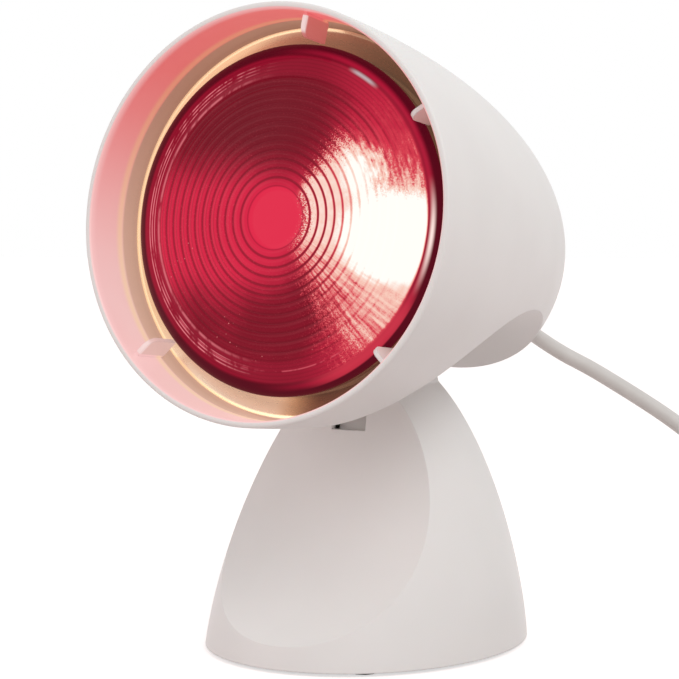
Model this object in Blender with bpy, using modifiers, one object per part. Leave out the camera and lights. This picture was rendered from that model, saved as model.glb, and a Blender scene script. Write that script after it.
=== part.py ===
"""Infrared heat therapy lamp: a tilting shade on a domed base, with its bulb, holder, hinge and mains lead.

Metres, +Z up. The lamp faces -Y and stands on Z = 0, under the middle of its shade and base together.
"""

from math import atan2, ceil, cos, pi, radians, sin, sqrt

import bmesh
import bpy
from mathutils import Matrix, Vector

# Clearances and cuts
GAP = 0.0003
OVERRUN = 0.01
MERGE = 0.00001
SHARP_EDGE = radians(35)
SPLINE_STEPS = 20
CORNER_POINTS = 4

# Facets round each kind of turned piece
FINE_STEPS = 40
MEDIUM_STEPS = 20
SMALL_STEPS = 10
BULB_STEPS = 32
SCOOP_STEPS = 80

# Shade: a blunt bullet, open at the rim, whose axis rises forward
SHADE_ROOM = 0.011
SHADE_TAIL_ROOM = 0.034
SHADE_WALL = 0.0024
SHADE_BLUNTNESS = 2.3
SHADE_RINGS = 12
SHADE_TILT = radians(5.8)
LIP_ROUND = 0.001
RIM_REACH = 0.0771
RIM_HEIGHT = 0.1575

# Scoop under the shade, an arc across its whole width that clears the base
SCOOP_RADIUS = 0.0817
SCOOP_BACK = 0.0157
SCOOP_HEIGHT = 0.0418

# Ribs inside the rim, which keep the bulb and its heat shield back
RIB_ANGLES = (radians(80), radians(31), radians(-45), radians(-136))
RIB_THICKNESS = 0.0016
RIB_FRONT = 0.005
RIB_CLEARANCE = 0.0006

# Vent slots round the shade's tail, all but the lowest
VENT_ANGLES = tuple(radians(a) for a in (22.5, 67.5, 112.5, 157.5, 202.5, 337.5))
VENT_WIDTH = 0.003
VENT_BEFORE_TAIL = 0.028
VENT_LENGTH = 0.015

# Bulb: a pressed-glass reflector lamp with a ridged lens and a screw cap
BULB_RADIUS = 0.061
BULB_SEAT = 0.019
BULB_BODY_DEPTH = 0.098
BULB_GLASS = 0.0025
BULB_DEPTH_SHARES = (0.0, 0.1, 0.3, 0.5, 0.66, 0.76, 1.0)
BULB_RADIUS_SHARES = (1.0, 0.965, 0.83, 0.635, 0.46, 0.37, 0.345)
LENS_RISE = 0.0072
LENS_GLASS = 0.0035
LENS_DISC_RADIUS = 0.01065
LENS_RIDGE_PITCH = 0.0032
LENS_RIDGE_COUNT = 12
LENS_RIDGE_HEIGHT = 0.0005
LENS_SHOULDER_WIDTH = 0.005
LENS_SHOULDER_SHARES = (0.5, 0.8, 0.95)
LENS_BACK_SHARES = (0.7, 0.4)
CAP_RADIUS = 0.0132
CAP_SKIRT_RADIUS = 0.0195
CAP_SKIRT_LENGTH = 0.0075
CAP_LENGTH = 0.0245
CAP_THREADS = 3
CAP_THREAD_DEPTH = 0.0007
INSULATOR_LENGTH = 0.0025
INSULATOR_RADIUS = 0.0095
CONTACT_RADIUS = 0.0048
CONTACT_LENGTH = 0.0012

# Filament on its glass stem, inside the bulb
FILAMENT_AHEAD = 0.0152
FILAMENT_REACH = 0.008
FILAMENT_CURLS = 6
FILAMENT_CURL_RADIUS = 0.0012
FILAMENT_WIRE_RADIUS = 0.0003
FILAMENT_POINTS_A_CURL = 6
STEM_RADIUS = 0.008
STEM_LENGTH = 0.018

# Heat shield: a bright metal cup between bulb and shade
SHIELD_AIR = 0.0019
SHIELD_METAL = 0.0007
SHIELD_FLARE = 0.0065
SHIELD_SETBACK = 0.007
SHIELD_MOUTH_RUN = 0.004
SHIELD_TAIL_RUN = 0.007
SHIELD_TAIL_RADIUS = 0.0185
BELLY_AIR = 0.0034
BELLY_FRONT = 0.01
BELLY_PAST_MOUTH = 0.002

# Lamp holder on its bracket
HOLDER_RADIUS = 0.0205
HOLDER_CLEARANCE = 0.0035
HOLDER_LENGTH = 0.032
HOLDER_BORE_RADIUS = 0.0147
HOLDER_FLOOR = 0.01
SLEEVE_METAL = 0.0004
SLEEVE_LENGTH = 0.014
TONGUE_RADIUS = 0.006
TONGUE_THICKNESS = 0.001
STRAP_THICKNESS = 0.002
STRAP_WIDTH = 0.018
STRAP_REACH = 0.033
STRAP_HOLE_RADIUS = 0.006
BOSS_OFFSET = 0.0275
BOSS_RADIUS = 0.004
HOLDER_SCREW_OFFSET = 0.0115

# Screws, by size
SCREW_CROWN_SHARE = 0.7
SCREW_RADIUS = 0.0015
SCREW_HEAD_RADIUS = 0.0031
SCREW_HEAD_HEIGHT = 0.0011
LARGE_SCREW_RADIUS = 0.002
LARGE_SCREW_HEAD_RADIUS = 0.0036
LARGE_SCREW_HEAD_HEIGHT = 0.002

# Base: a leaning oval dome with a hollowed front
BASE_HALF_WIDTH = 0.0574
BASE_HALF_DEPTH = 0.068
BASE_PEAK = 0.1084
BASE_TOP = 0.099
BASE_TOP_ROUND = 0.003
BASE_SWELL = 1.392
BASE_CLOSING = 0.516
BASE_LEAN = 0.074
BASE_WALL = 0.0024
BASE_RINGS = 9
FRONT_HOLLOW_RADIUS = 0.10714
FRONT_HOLLOW_AHEAD = 0.01271
FRONT_HOLLOW_SINK = 0.0053

# Underside of the base
FOOT_HEIGHT = 0.0009
FOOT_RADIUS = 0.005
FOOT_INSET = 0.0314
FOOT_SETBACK = 0.018
COVER_THICKNESS = 0.0026
COVER_SLACK = 0.0012
COVER_SCREW_INSET = 0.0194
COVER_SCREW_SETBACK = 0.038
COVER_SCREW_LENGTH = 0.01
COUNTERBORE_DEPTH = 0.0016
PILLAR_RADIUS = 0.004
BALLAST_THICKNESS = 0.009
BALLAST_SIDE_ROOM = 0.0244
BALLAST_END_ROOM = 0.023

# Hinge in the top of the base
PIVOT_BACK = 0.006
PIVOT_HEIGHT = 0.072
ARM_THICKNESS = 0.013
ARM_DISC_RADIUS = 0.018
ARM_NECK_WIDTH = 0.02
ARM_FOOT_WIDTH = 0.032
ARM_FOOT_DEPTH = 0.018
ARM_FOOT_UNDERSIDE = 0.1075
ARM_SCREW_ACROSS = 0.0115
SLOT_WIDTH = 0.014
SLOT_SILL = 0.0795
SLOT_BACK = 0.032
DETENT_STEP = radians(8)
DETENT_FIRST = -1
DETENT_COUNT = 5
DETENT_NOTCH_RADIUS = 0.00115
PIN_RADIUS = 0.003
PIN_HEAD_RADIUS = 0.0052
PIN_HEAD_LENGTH = 0.0036
NUT_SIDES = 6
WASHER_RADIUS = 0.009
WASHER_THICKNESS = 0.001
BRACKET_METAL = 0.002
BRACKET_DEPTH = 0.024
BRACKET_HALF_WIDTH = 0.028
LEAF_ROOM = 0.015
BRACKET_EAR_ABOVE = 0.01
BRACKET_SCREW_ACROSS = 0.022
BRACKET_SCREW_LENGTH = 0.012
LEAF_WIDTH = 0.01
LEAF_THICKNESS = 0.001
LEAF_ALONG_SHARES = (-1.0, -0.7, -0.3, 0.35, 0.8)
LEAF_RISE_SHARES = (0.0, 0.0, 0.75, 0.8, 0.6)

# Mains lead, its strain relief and what lies on it
CORD_RADIUS = 0.0034
CORD_EXIT_BEFORE_TAIL = 0.004
CORD_EXIT_DROOP = radians(20)
RELIEF_LENGTH = 0.024
RELIEF_COLLAR_RADIUS = 0.0078
RELIEF_COLLAR_LENGTH = 0.003
RELIEF_ROOT_RADIUS = 0.0062
RELIEF_TIP_RADIUS = 0.0047
RELIEF_NECK_RADIUS = 0.0052
RELIEF_NECK_LENGTH = 0.009
STOP_RADIUS = 0.0075
STOP_LENGTH = 0.006
INNER_CABLE_END = 0.0165
CORE_RADIUS = 0.0011
CORD_SEGMENT = 0.014
CORD_ROUTE = (
    (0.001, 0.152, 0.107),
    (0.008, 0.161, 0.1002),
    (0.022, 0.165, 0.0925),
    (0.038, 0.1665, 0.0835),
    (0.056, 0.167, 0.073),
    (0.074, 0.167, 0.0605),
    (0.091, 0.166, 0.0465),
    (0.105, 0.1625, 0.0325),
    (0.1165, 0.1545, 0.0195),
    (0.1215, 0.1435, 0.0105),
)

# In-line rocker switch, lying along Y beside the lamp
SWITCH_X = 0.122
SWITCH_Y = 0.093
SWITCH_LENGTH = 0.06
SWITCH_WIDTH = 0.027
SWITCH_HEIGHT = 0.018
SWITCH_WALL = 0.002
SWITCH_AXIS = 0.0065
SWITCH_CORNER = 0.011
SWITCH_SCREW_ALONG = 0.0215
SWITCH_SCREW_LENGTH = 0.009
SWITCH_HUB_RADIUS = 0.003
WINDOW_SLACK = 0.0004
WINDOW_END_SLACK = 0.0012
ROCKER_HALF_LENGTH = 0.0095
ROCKER_WIDTH = 0.012
ROCKER_DROP = 0.0032
ROCKER_END_HEIGHT = 0.0046
ROCKER_MIDDLE_HEIGHT = 0.0034
ROCKER_KEEL = 0.0024
ROCKER_ANGLE = radians(8)
AXLE_RADIUS = 0.001
CHEEK_INNER = 0.007
CHEEK_THICKNESS = 0.002
CHEEK_HALF_LENGTH = 0.004
CHEEK_LOW = 0.0105
TERMINAL_SIZE = 0.003
TERMINAL_ALONG = 0.0065
TERMINAL_HEIGHT = 0.0035

# Coil of the spare lead, laid flat in two layers beside the switch
COIL_START_Y = 0.023
COIL_OUTER_RADIUS = 0.05
COIL_SPACING = 0.0076
COIL_LAYER = 0.0074
COIL_TURNS_IN = 2.5
COIL_TURNS_OUT = 2.5
COIL_LEAVING_ANGLE = radians(12)
COIL_POINTS_A_LOOP = 24

# Round plug lying on its side at the lead's end
PLUG_RADIUS = 0.0183
PLUG_HEAD_LENGTH = 0.02
PLUG_GRIP_LENGTH = 0.026
PLUG_GRIP_RADIUS = 0.0105
PLUG_TAIL_RADIUS = 0.0062
PLUG_EDGE = 0.002
PLUG_LEAD_RUN = 0.046
PLUG_PIN_RADIUS = 0.0024
PLUG_PIN_LENGTH = 0.019
PLUG_PIN_SPACING = 0.019
PLUG_PIN_SEAT = 0.006

# Worked out from the sizes above
BULB_NECK_RADIUS = BULB_RADIUS * BULB_RADIUS_SHARES[-1]
FILAMENT_DEPTH = BULB_BODY_DEPTH - BULB_GLASS - GAP - STEM_LENGTH - FILAMENT_AHEAD
SHADE_RADIUS = BULB_RADIUS + SHADE_ROOM
RIB_INNER_RADIUS = BULB_RADIUS + RIB_CLEARANCE
SHIELD_MOUTH_RADIUS = BULB_RADIUS + SHIELD_FLARE
BRACKET_UNDERSIDE = PIVOT_HEIGHT - ARM_DISC_RADIUS - LEAF_ROOM
FRONT_HOLLOW_REACH = FRONT_HOLLOW_RADIUS + FRONT_HOLLOW_AHEAD
FOOT_ACROSS = BASE_HALF_WIDTH - FOOT_INSET
FOOT_ALONG = BASE_HALF_DEPTH - FOOT_SETBACK
COVER_SCREW_ACROSS = BASE_HALF_WIDTH - COVER_SCREW_INSET
COVER_SCREW_ALONG = BASE_HALF_DEPTH - COVER_SCREW_SETBACK
BALLAST_HALF_WIDTH = BASE_HALF_WIDTH - BALLAST_SIDE_ROOM
BALLAST_HALF_DEPTH = BASE_HALF_DEPTH - BALLAST_END_ROOM
FRONT_HOLLOW_HEIGHT = FRONT_HOLLOW_RADIUS - FRONT_HOLLOW_SINK
BASE_UNDERSIDE = FOOT_HEIGHT + GAP
COVER_TOP = BASE_UNDERSIDE + COVER_THICKNESS
CAP_FRONT = BULB_SEAT + BULB_BODY_DEPTH + GAP
CAP_BACK = CAP_FRONT + CAP_LENGTH
HOLDER_MOUTH = BULB_SEAT + BULB_BODY_DEPTH + CAP_SKIRT_LENGTH + HOLDER_CLEARANCE
HOLDER_BACK = HOLDER_MOUTH + HOLDER_LENGTH
BELLY_TAIL = HOLDER_MOUTH + BELLY_PAST_MOUTH
SHADE_LENGTH = HOLDER_BACK + SHADE_TAIL_ROOM
VENT_FROM = SHADE_LENGTH - VENT_BEFORE_TAIL
CORD_EXIT_DEPTH = SHADE_LENGTH - CORD_EXIT_BEFORE_TAIL
BRACKET_TOP = BRACKET_UNDERSIDE + BRACKET_METAL
RIM_CENTRE = Vector((0, -RIM_REACH, RIM_HEIGHT))
PIVOT = Vector((0, PIVOT_BACK, PIVOT_HEIGHT))
FRONT_EDGE = RIM_REACH + (SHADE_RADIUS - LIP_ROUND) * sin(SHADE_TILT)
TAIL_EDGE = SHADE_LENGTH * cos(SHADE_TILT) - RIM_REACH
FRAME_SHIFT = (FRONT_EDGE - TAIL_EDGE) / 2

# Turns a piece drawn across the page (X along, Y up) into the plane that its name gives
UPRIGHT_ACROSS_X = (pi / 2, 0, pi / 2)
UPRIGHT_ACROSS_Y = (pi / 2, 0, 0)
ALONG_X = (0, pi / 2, 0)
ALONG_MINUS_X = (0, -pi / 2, 0)
DOWNWARD = (pi, 0, 0)
FLAT = (0, 0, 0)

# Materials: colour, roughness and metallic
WHITE = ((0.80, 0.79, 0.78, 1), 0.42, 0)
RED_GLASS = ((0.55, 0.01, 0.03, 1), 0.12, 0)
MIRROR = ((0.75, 0.72, 0.70, 1), 0.15, 1)
BRASS = ((0.72, 0.55, 0.28, 1), 0.3, 1)
BRIGHT_CUP = ((0.82, 0.68, 0.48, 1), 0.25, 1)
STEEL = ((0.62, 0.62, 0.62, 1), 0.35, 1)
IRON = ((0.16, 0.16, 0.17, 1), 0.6, 1)
CERAMIC = ((0.82, 0.80, 0.74, 1), 0.5, 0)
BLACK_GLASS = ((0.03, 0.03, 0.035, 1), 0.2, 0)
CLEAR_GLASS = ((0.75, 0.78, 0.78, 1), 0.1, 0)
TUNGSTEN = ((0.35, 0.34, 0.33, 1), 0.4, 1)
RUBBER = ((0.09, 0.09, 0.09, 1), 0.8, 0)
LEAD_GREY = ((0.70, 0.68, 0.66, 1), 0.5, 0)
LIVE_BROWN = ((0.28, 0.13, 0.06, 1), 0.5, 0)
NEUTRAL_BLUE = ((0.05, 0.14, 0.45, 1), 0.5, 0)


def clear_scene():
    for old in list(bpy.data.objects):
        bpy.data.objects.remove(old, do_unlink=True)
    for old in list(bpy.data.collections):
        bpy.data.collections.remove(old)


def collection(name):
    made = bpy.data.collections.new(name)
    bpy.context.scene.collection.children.link(made)
    return made


def material(name, look):
    colour, roughness, metallic = look
    made = bpy.data.materials.new(name)
    made.use_nodes = True
    surface = made.node_tree.nodes["Principled BSDF"]
    surface.inputs["Base Color"].default_value = colour
    surface.inputs["Roughness"].default_value = roughness
    surface.inputs["Metallic"].default_value = metallic
    made.diffuse_color = colour
    return made


def anchor(name, location, rotation=FLAT, parent=None):
    """An empty that carries the pieces of one body or one axis."""
    made = bpy.data.objects.new(name, None)
    made.empty_display_size = OVERRUN
    made.location = location
    made.rotation_euler = rotation
    made.parent = parent
    parts.objects.link(made)
    return made


def place(name, mesh, parent, location, rotation, look):
    """A piece with its own material, or with look None a cutter."""
    made = bpy.data.objects.new(name, mesh)
    made.location = location
    made.rotation_euler = rotation
    made.parent = parent
    if look is None:
        cutters.objects.link(made)
        made.hide_render = True
        made.display_type = "WIRE"
    else:
        parts.objects.link(made)
        mesh.materials.clear()
        mesh.materials.append(material(name, look))
    return made


def smooth(mesh):
    mesh.shade_smooth()
    mesh.set_sharp_from_angle(angle=SHARP_EDGE)


def turned(name, profile, steps, parent, look, location=FLAT, rotation=FLAT, closed=False):
    """A profile of (radius, height) points turned about its own Z, down the outer side."""
    mesh = bpy.data.meshes.new(name)
    points = [(radius, 0, height) for radius, height in profile]
    edges = [(i, i + 1) for i in range(len(points) - 1)]
    if closed:
        edges.append((len(points) - 1, 0))
    mesh.from_pydata(points, edges, [])
    made = place(name, mesh, parent, location, rotation, look)
    lathe = made.modifiers.new("turned", "SCREW")
    lathe.angle = 2 * pi
    lathe.steps = steps
    lathe.render_steps = steps
    lathe.use_merge_vertices = True
    lathe.merge_threshold = MERGE
    return made


def ring(name, inner, outer, low, high, steps, parent, look, location=FLAT, rotation=FLAT):
    profile = [(outer, high), (outer, low), (inner, low), (inner, high)]
    return turned(name, profile, steps, parent, look, location, rotation, closed=True)


def baked(made):
    """The same object with its modifiers made part of its mesh."""
    bpy.context.view_layer.update()
    seen = made.evaluated_get(bpy.context.evaluated_depsgraph_get())
    mesh = bpy.data.meshes.new_from_object(seen)
    made.modifiers.clear()
    made.data = mesh
    return made


def as_mesh(curve_object, name, parent, look, location=FLAT, rotation=FLAT):
    """A curve made into a closed mesh object with welded caps; the curve is removed."""
    bpy.context.view_layer.update()
    seen = curve_object.evaluated_get(bpy.context.evaluated_depsgraph_get())
    mesh = bpy.data.meshes.new_from_object(seen)
    work = bmesh.new()
    work.from_mesh(mesh)
    bmesh.ops.remove_doubles(work, verts=work.verts, dist=MERGE)
    bmesh.ops.recalc_face_normals(work, faces=work.faces)
    work.to_mesh(mesh)
    work.free()
    bpy.data.objects.remove(curve_object, do_unlink=True)
    return place(name, mesh, parent, location, rotation, look)


def plate(name, outlines, thickness, parent, look, location=FLAT, rotation=FLAT):
    """Flat closed outlines, the later ones holes, thickened evenly about their plane."""
    curve = bpy.data.curves.new(name, "CURVE")
    curve.dimensions = "2D"
    curve.fill_mode = "BOTH"
    curve.extrude = thickness / 2
    for outline in outlines:
        spline = curve.splines.new("POLY")
        spline.points.add(len(outline) - 1)
        for point, (x, y) in zip(spline.points, outline):
            point.co = (x, y, 0, 1)
        spline.use_cyclic_u = True
    drawn = bpy.data.objects.new(name, curve)
    cutters.objects.link(drawn)
    return as_mesh(drawn, name, parent, look, location, rotation)


def tube(name, points, radius, parent, look, resolution, location=FLAT, rotation=FLAT):
    curve = bpy.data.curves.new(name, "CURVE")
    curve.dimensions = "3D"
    curve.bevel_depth = radius
    curve.bevel_resolution = resolution
    curve.use_fill_caps = True
    spline = curve.splines.new("POLY")
    spline.points.add(len(points) - 1)
    for point, place_ in zip(spline.points, points):
        point.co = (*place_, 1)
    drawn = bpy.data.objects.new(name, curve)
    cutters.objects.link(drawn)
    made = as_mesh(drawn, name, parent, look, location, rotation)
    smooth(made.data)
    return made


def block(name, low, high, parent, look, rotation=FLAT):
    """A box between two corners."""
    low, high = Vector(low), Vector(high)
    mesh = bpy.data.meshes.new(name)
    work = bmesh.new()
    size = Matrix.Diagonal((*(high - low), 1))
    bmesh.ops.create_cube(work, size=1, matrix=size)
    work.to_mesh(mesh)
    work.free()
    return place(name, mesh, parent, (low + high) / 2, rotation, look)


def rod(name, radius, length, steps, parent, look, location, rotation=FLAT):
    """A plain cylinder centred on its place."""
    mesh = bpy.data.meshes.new(name)
    work = bmesh.new()
    bmesh.ops.create_cone(
        work, cap_ends=True, segments=steps, radius1=radius, radius2=radius, depth=length
    )
    work.to_mesh(mesh)
    work.free()
    smooth(mesh)
    return place(name, mesh, parent, location, rotation, look)


def boolean(target, tool, operation):
    step = target.modifiers.new(tool.name, "BOOLEAN")
    step.operation = operation
    step.solver = "EXACT"
    step.object = tool


def cut(target, tool):
    boolean(target, tool, "DIFFERENCE")


def add(target, tool):
    boolean(target, tool, "UNION")


def numbered(name, pieces):
    """Gives alike pieces one name and a number each."""
    for piece in pieces:
        piece.name = f"{name}_unnumbered"
    for count, piece in enumerate(pieces, 1):
        piece.name = f"{name}_{count}"
        piece.data.materials[0].name = piece.name


def screw_profile(radius, head_radius, head_height, length):
    """A pan-head screw whose head sits above height zero."""
    return [
        (0, head_height),
        (head_radius * SCREW_CROWN_SHARE, head_height),
        (head_radius, head_height / 2),
        (head_radius, 0),
        (radius, 0),
        (radius, -length),
        (0, -length),
    ]


def small_screw(name, length, parent, location, rotation):
    profile = screw_profile(SCREW_RADIUS, SCREW_HEAD_RADIUS, SCREW_HEAD_HEIGHT, length)
    return turned(name, profile, SMALL_STEPS, parent, STEEL, location, rotation)


def large_screw(name, length, parent, location, rotation):
    profile = screw_profile(
        LARGE_SCREW_RADIUS, LARGE_SCREW_HEAD_RADIUS, LARGE_SCREW_HEAD_HEIGHT, length
    )
    return turned(name, profile, SMALL_STEPS, parent, STEEL, location, rotation)


def ellipse(half_width, half_depth, steps):
    return [
        (half_width * cos(2 * pi * i / steps), half_depth * sin(2 * pi * i / steps))
        for i in range(steps)
    ]


def circle(centre_x, centre_y, radius, steps):
    return [(centre_x + x, centre_y + y) for x, y in ellipse(radius, radius, steps)]


def between(value, places, amounts):
    """Straight-line reading of a table of shares."""
    for (a, b), (low, high) in zip(zip(places, places[1:]), zip(amounts, amounts[1:])):
        if value <= b:
            return low + (high - low) * (value - a) / (b - a)
    return amounts[-1]


def shade_profile(radius, length, front):
    """The bullet's outline, from the middle of its front, out and back to its tail."""
    inner = [(0, front), (radius, front)] if front > 0 else [(0, 0)]
    edge = []
    if front == 0:
        for i in range(3):
            turn = pi / 2 * i / 2
            edge.append(
                (radius - LIP_ROUND * (1 - sin(turn)), -LIP_ROUND * (1 - cos(turn)))
            )
    body = []
    for i in range(1, SHADE_RINGS + 1):
        depth = length * sin(pi / 2 * i / SHADE_RINGS)
        swell = max(0, 1 - (depth / length) ** SHADE_BLUNTNESS)
        body.append((radius * sqrt(swell), -depth))
    body[-1] = (0, -length)
    return inner + edge + body


def shade_solid(name, radius, length, front=0):
    return turned(name, shade_profile(radius, length, front), FINE_STEPS, head_axis, None)


def bulb_radius(depth):
    """Radius of the glass at a depth behind the bulb's seam."""
    share = between(
        max(depth, 0) / BULB_BODY_DEPTH, BULB_DEPTH_SHARES, BULB_RADIUS_SHARES
    )
    return BULB_RADIUS * share


def belly_solid(name, growth):
    """The rounded housing that follows the bulb inside the scoop."""
    depths = [BELLY_FRONT, BULB_SEAT]
    depths += [BULB_SEAT + BULB_BODY_DEPTH * share for share in BULB_DEPTH_SHARES[1:]]
    depths.append(BELLY_TAIL)
    profile = [(0, -BELLY_FRONT)]
    profile += [(bulb_radius(d - BULB_SEAT) + growth, -d) for d in depths]
    profile.append((0, -BELLY_TAIL))
    return turned(name, profile, FINE_STEPS, head_axis, None)


def scoop_solid(name, radius):
    location = Vector((0, SCOOP_BACK, SCOOP_HEIGHT)) - PIVOT
    length = 4 * SHADE_RADIUS
    return rod(name, radius, length, SCOOP_STEPS, tilt_axis, None, location, ALONG_X)


def rib_cutter(number, angle):
    """A thin plate in a radial plane, from the shade's wall in to the bulb's edge."""
    back = BULB_SEAT + SHIELD_METAL
    height = back - RIB_FRONT
    middle = (RIB_INNER_RADIUS + SHADE_RADIUS + OVERRUN) / 2
    length = SHADE_RADIUS + OVERRUN - RIB_INNER_RADIUS
    made = block(
        f"rib_{number}",
        (-length / 2, -RIB_THICKNESS / 2, -height / 2),
        (length / 2, RIB_THICKNESS / 2, height / 2),
        head_axis,
        None,
    )
    made.location = (middle * cos(angle), middle * sin(angle), -(RIB_FRONT + back) / 2)
    made.rotation_euler = (0, 0, angle)
    return made


def vent_cutter(number, angle):
    reach = SHADE_RADIUS
    made = block(
        f"vent_{number}",
        (-reach / 2, -VENT_WIDTH / 2, -VENT_LENGTH / 2),
        (reach / 2, VENT_WIDTH / 2, VENT_LENGTH / 2),
        head_axis,
        None,
    )
    middle = reach / 2 + BULB_NECK_RADIUS
    depth = VENT_FROM + VENT_LENGTH / 2
    made.location = (middle * cos(angle), middle * sin(angle), -depth)
    made.rotation_euler = (0, 0, angle)
    return made


def make_head_shell():
    shell = turned(
        "head_shell",
        shade_profile(SHADE_RADIUS, SHADE_LENGTH, 0),
        FINE_STEPS,
        head_axis,
        WHITE,
    )
    cut(shell, scoop_solid("scoop", SCOOP_RADIUS))
    add(shell, belly_solid("belly", BELLY_AIR + SHADE_WALL))
    room = shade_solid(
        "shade_room", SHADE_RADIUS - SHADE_WALL, SHADE_LENGTH - SHADE_WALL, OVERRUN
    )
    cut(room, scoop_solid("scoop_wall", SCOOP_RADIUS + SHADE_WALL))
    add(room, belly_solid("belly_room", BELLY_AIR))
    for number, angle in enumerate(RIB_ANGLES):
        cut(room, rib_cutter(number, angle))
    for side in (-1, 1):
        boss_front = HOLDER_BACK + STRAP_THICKNESS + 2 * GAP
        boss_length = SHADE_LENGTH - boss_front
        middle = -(boss_front + SHADE_LENGTH) / 2
        place_ = (side * BOSS_OFFSET, 0, middle)
        cut(room, rod(f"boss_{side}", BOSS_RADIUS, boss_length, SMALL_STEPS, head_axis, None, place_))
    cut(shell, room)
    for number, angle in enumerate(VENT_ANGLES):
        cut(shell, vent_cutter(number, angle))
    for side in (-1, 1):
        hole_length = 2 * BRACKET_SCREW_LENGTH
        place_ = (side * BOSS_OFFSET, 0, -HOLDER_BACK)
        hole = rod(
            f"boss_hole_{side}", SCREW_RADIUS + GAP, hole_length, SMALL_STEPS, head_axis, None, place_
        )
        cut(shell, hole)
        cut(shell, arm_screw_hole(f"shell_screw_hole_{side}", side))
    neck_hole = rod(
        "relief_hole",
        RELIEF_NECK_RADIUS + GAP,
        4 * RELIEF_NECK_LENGTH,
        MEDIUM_STEPS,
        exit_axis,
        None,
        FLAT,
    )
    cut(shell, neck_hole)


def lens_front(radius):
    """Height of the lens above the seam, smooth dome only."""
    share = min(radius / BULB_RADIUS, 1)
    return LENS_RISE * sqrt(1 - share ** 4)


def make_lens():
    seam = -BULB_SEAT
    profile = [(0, seam + lens_front(0)), (LENS_DISC_RADIUS, seam + lens_front(LENS_DISC_RADIUS))]
    for ridge in range(LENS_RIDGE_COUNT):
        start = LENS_DISC_RADIUS + ridge * LENS_RIDGE_PITCH
        for share, lift in ((0.5, LENS_RIDGE_HEIGHT), (1.0, 0)):
            radius = start + share * LENS_RIDGE_PITCH
            profile.append((radius, seam + lens_front(radius) + lift))
    for share in LENS_SHOULDER_SHARES:
        radius = BULB_RADIUS - (1 - share) * LENS_SHOULDER_WIDTH
        profile.append((radius, seam + lens_front(radius)))
    profile += [(BULB_RADIUS, seam + GAP / 2)]
    profile += [(BULB_RADIUS - BULB_GLASS, seam + GAP / 2)]
    inner = LENS_RISE - LENS_GLASS
    for share in LENS_BACK_SHARES:
        radius = share * BULB_RADIUS
        profile.append((radius, seam + inner * (1 - share ** 4)))
    profile.append((0, seam + inner))
    turned("bulb_lens", profile, BULB_STEPS, head_axis, RED_GLASS)


def make_reflector():
    outer = []
    inner = []
    for share in BULB_DEPTH_SHARES:
        depth = share * BULB_BODY_DEPTH
        height = -BULB_SEAT - depth
        outer.append((bulb_radius(depth), height))
        inner.append((bulb_radius(depth) - BULB_GLASS, height))
    outer[0] = (BULB_RADIUS, -BULB_SEAT - GAP / 2)
    inner[0] = (BULB_RADIUS - BULB_GLASS, -BULB_SEAT - GAP / 2)
    back = outer[-1][1]
    floor = back + BULB_GLASS
    inner[-1] = (inner[-1][0], floor)
    profile = [(0, floor)] + inner[::-1] + outer + [(0, back)]
    turned("bulb_reflector", profile, BULB_STEPS, head_axis, MIRROR)


def make_cap():
    front, back = -CAP_FRONT, -CAP_BACK
    profile = [(0, front), (CAP_SKIRT_RADIUS, front)]
    start = front - CAP_SKIRT_LENGTH
    profile += [(CAP_RADIUS - CAP_THREAD_DEPTH, start)]
    pitch = (start - back) / CAP_THREADS
    for thread in range(CAP_THREADS):
        top = start - thread * pitch
        profile.append((CAP_RADIUS, top - pitch / 2))
        profile.append((CAP_RADIUS - CAP_THREAD_DEPTH, top - pitch))
    profile.append((0, back))
    turned("bulb_cap", profile, MEDIUM_STEPS, head_axis, BRASS)
    top = back - GAP
    low = top - INSULATOR_LENGTH
    profile = [(0, top), (INSULATOR_RADIUS, top), (CONTACT_RADIUS, low), (0, low)]
    turned("cap_insulator", profile, MEDIUM_STEPS, head_axis, BLACK_GLASS)
    top = low - GAP
    low = top - CONTACT_LENGTH
    profile = [(0, top), (CONTACT_RADIUS, top), (CONTACT_RADIUS / 2, low), (0, low)]
    turned("cap_contact", profile, SMALL_STEPS, head_axis, BRASS)
    return low


def make_filament():
    """One coiled wire on a half ring, whose two ends run back to the glass stem."""
    depth = BULB_SEAT + FILAMENT_DEPTH
    stem_back = -(BULB_SEAT + BULB_BODY_DEPTH - BULB_GLASS - GAP)
    stem_front = stem_back + STEM_LENGTH
    coiled = []
    steps = FILAMENT_CURLS * FILAMENT_POINTS_A_CURL
    for i in range(steps + 1):
        swing = pi * i / steps
        turn = 2 * pi * FILAMENT_CURLS * i / steps
        reach = FILAMENT_REACH - FILAMENT_CURL_RADIUS * cos(turn)
        height = -depth + FILAMENT_CURL_RADIUS * sin(turn)
        coiled.append((reach * cos(swing), reach * sin(swing), height))
    leads = []
    for x, y, z in (coiled[0], coiled[-1]):
        leads.append((x, y - FILAMENT_CURL_RADIUS, z - FILAMENT_CURL_RADIUS))
    foot = stem_front + GAP
    starts = [(leads[0][0], 0, foot), leads[0]]
    ends = [leads[1], (leads[1][0], 0, foot)]
    points = starts + coiled + ends
    tube("filament", points, FILAMENT_WIRE_RADIUS, head_axis, TUNGSTEN, 0)
    profile = [
        (0, stem_front),
        (STEM_RADIUS, stem_front),
        (STEM_RADIUS, stem_back),
        (0, stem_back),
    ]
    turned("glass_stem", profile, SMALL_STEPS, head_axis, CLEAR_GLASS)


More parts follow.
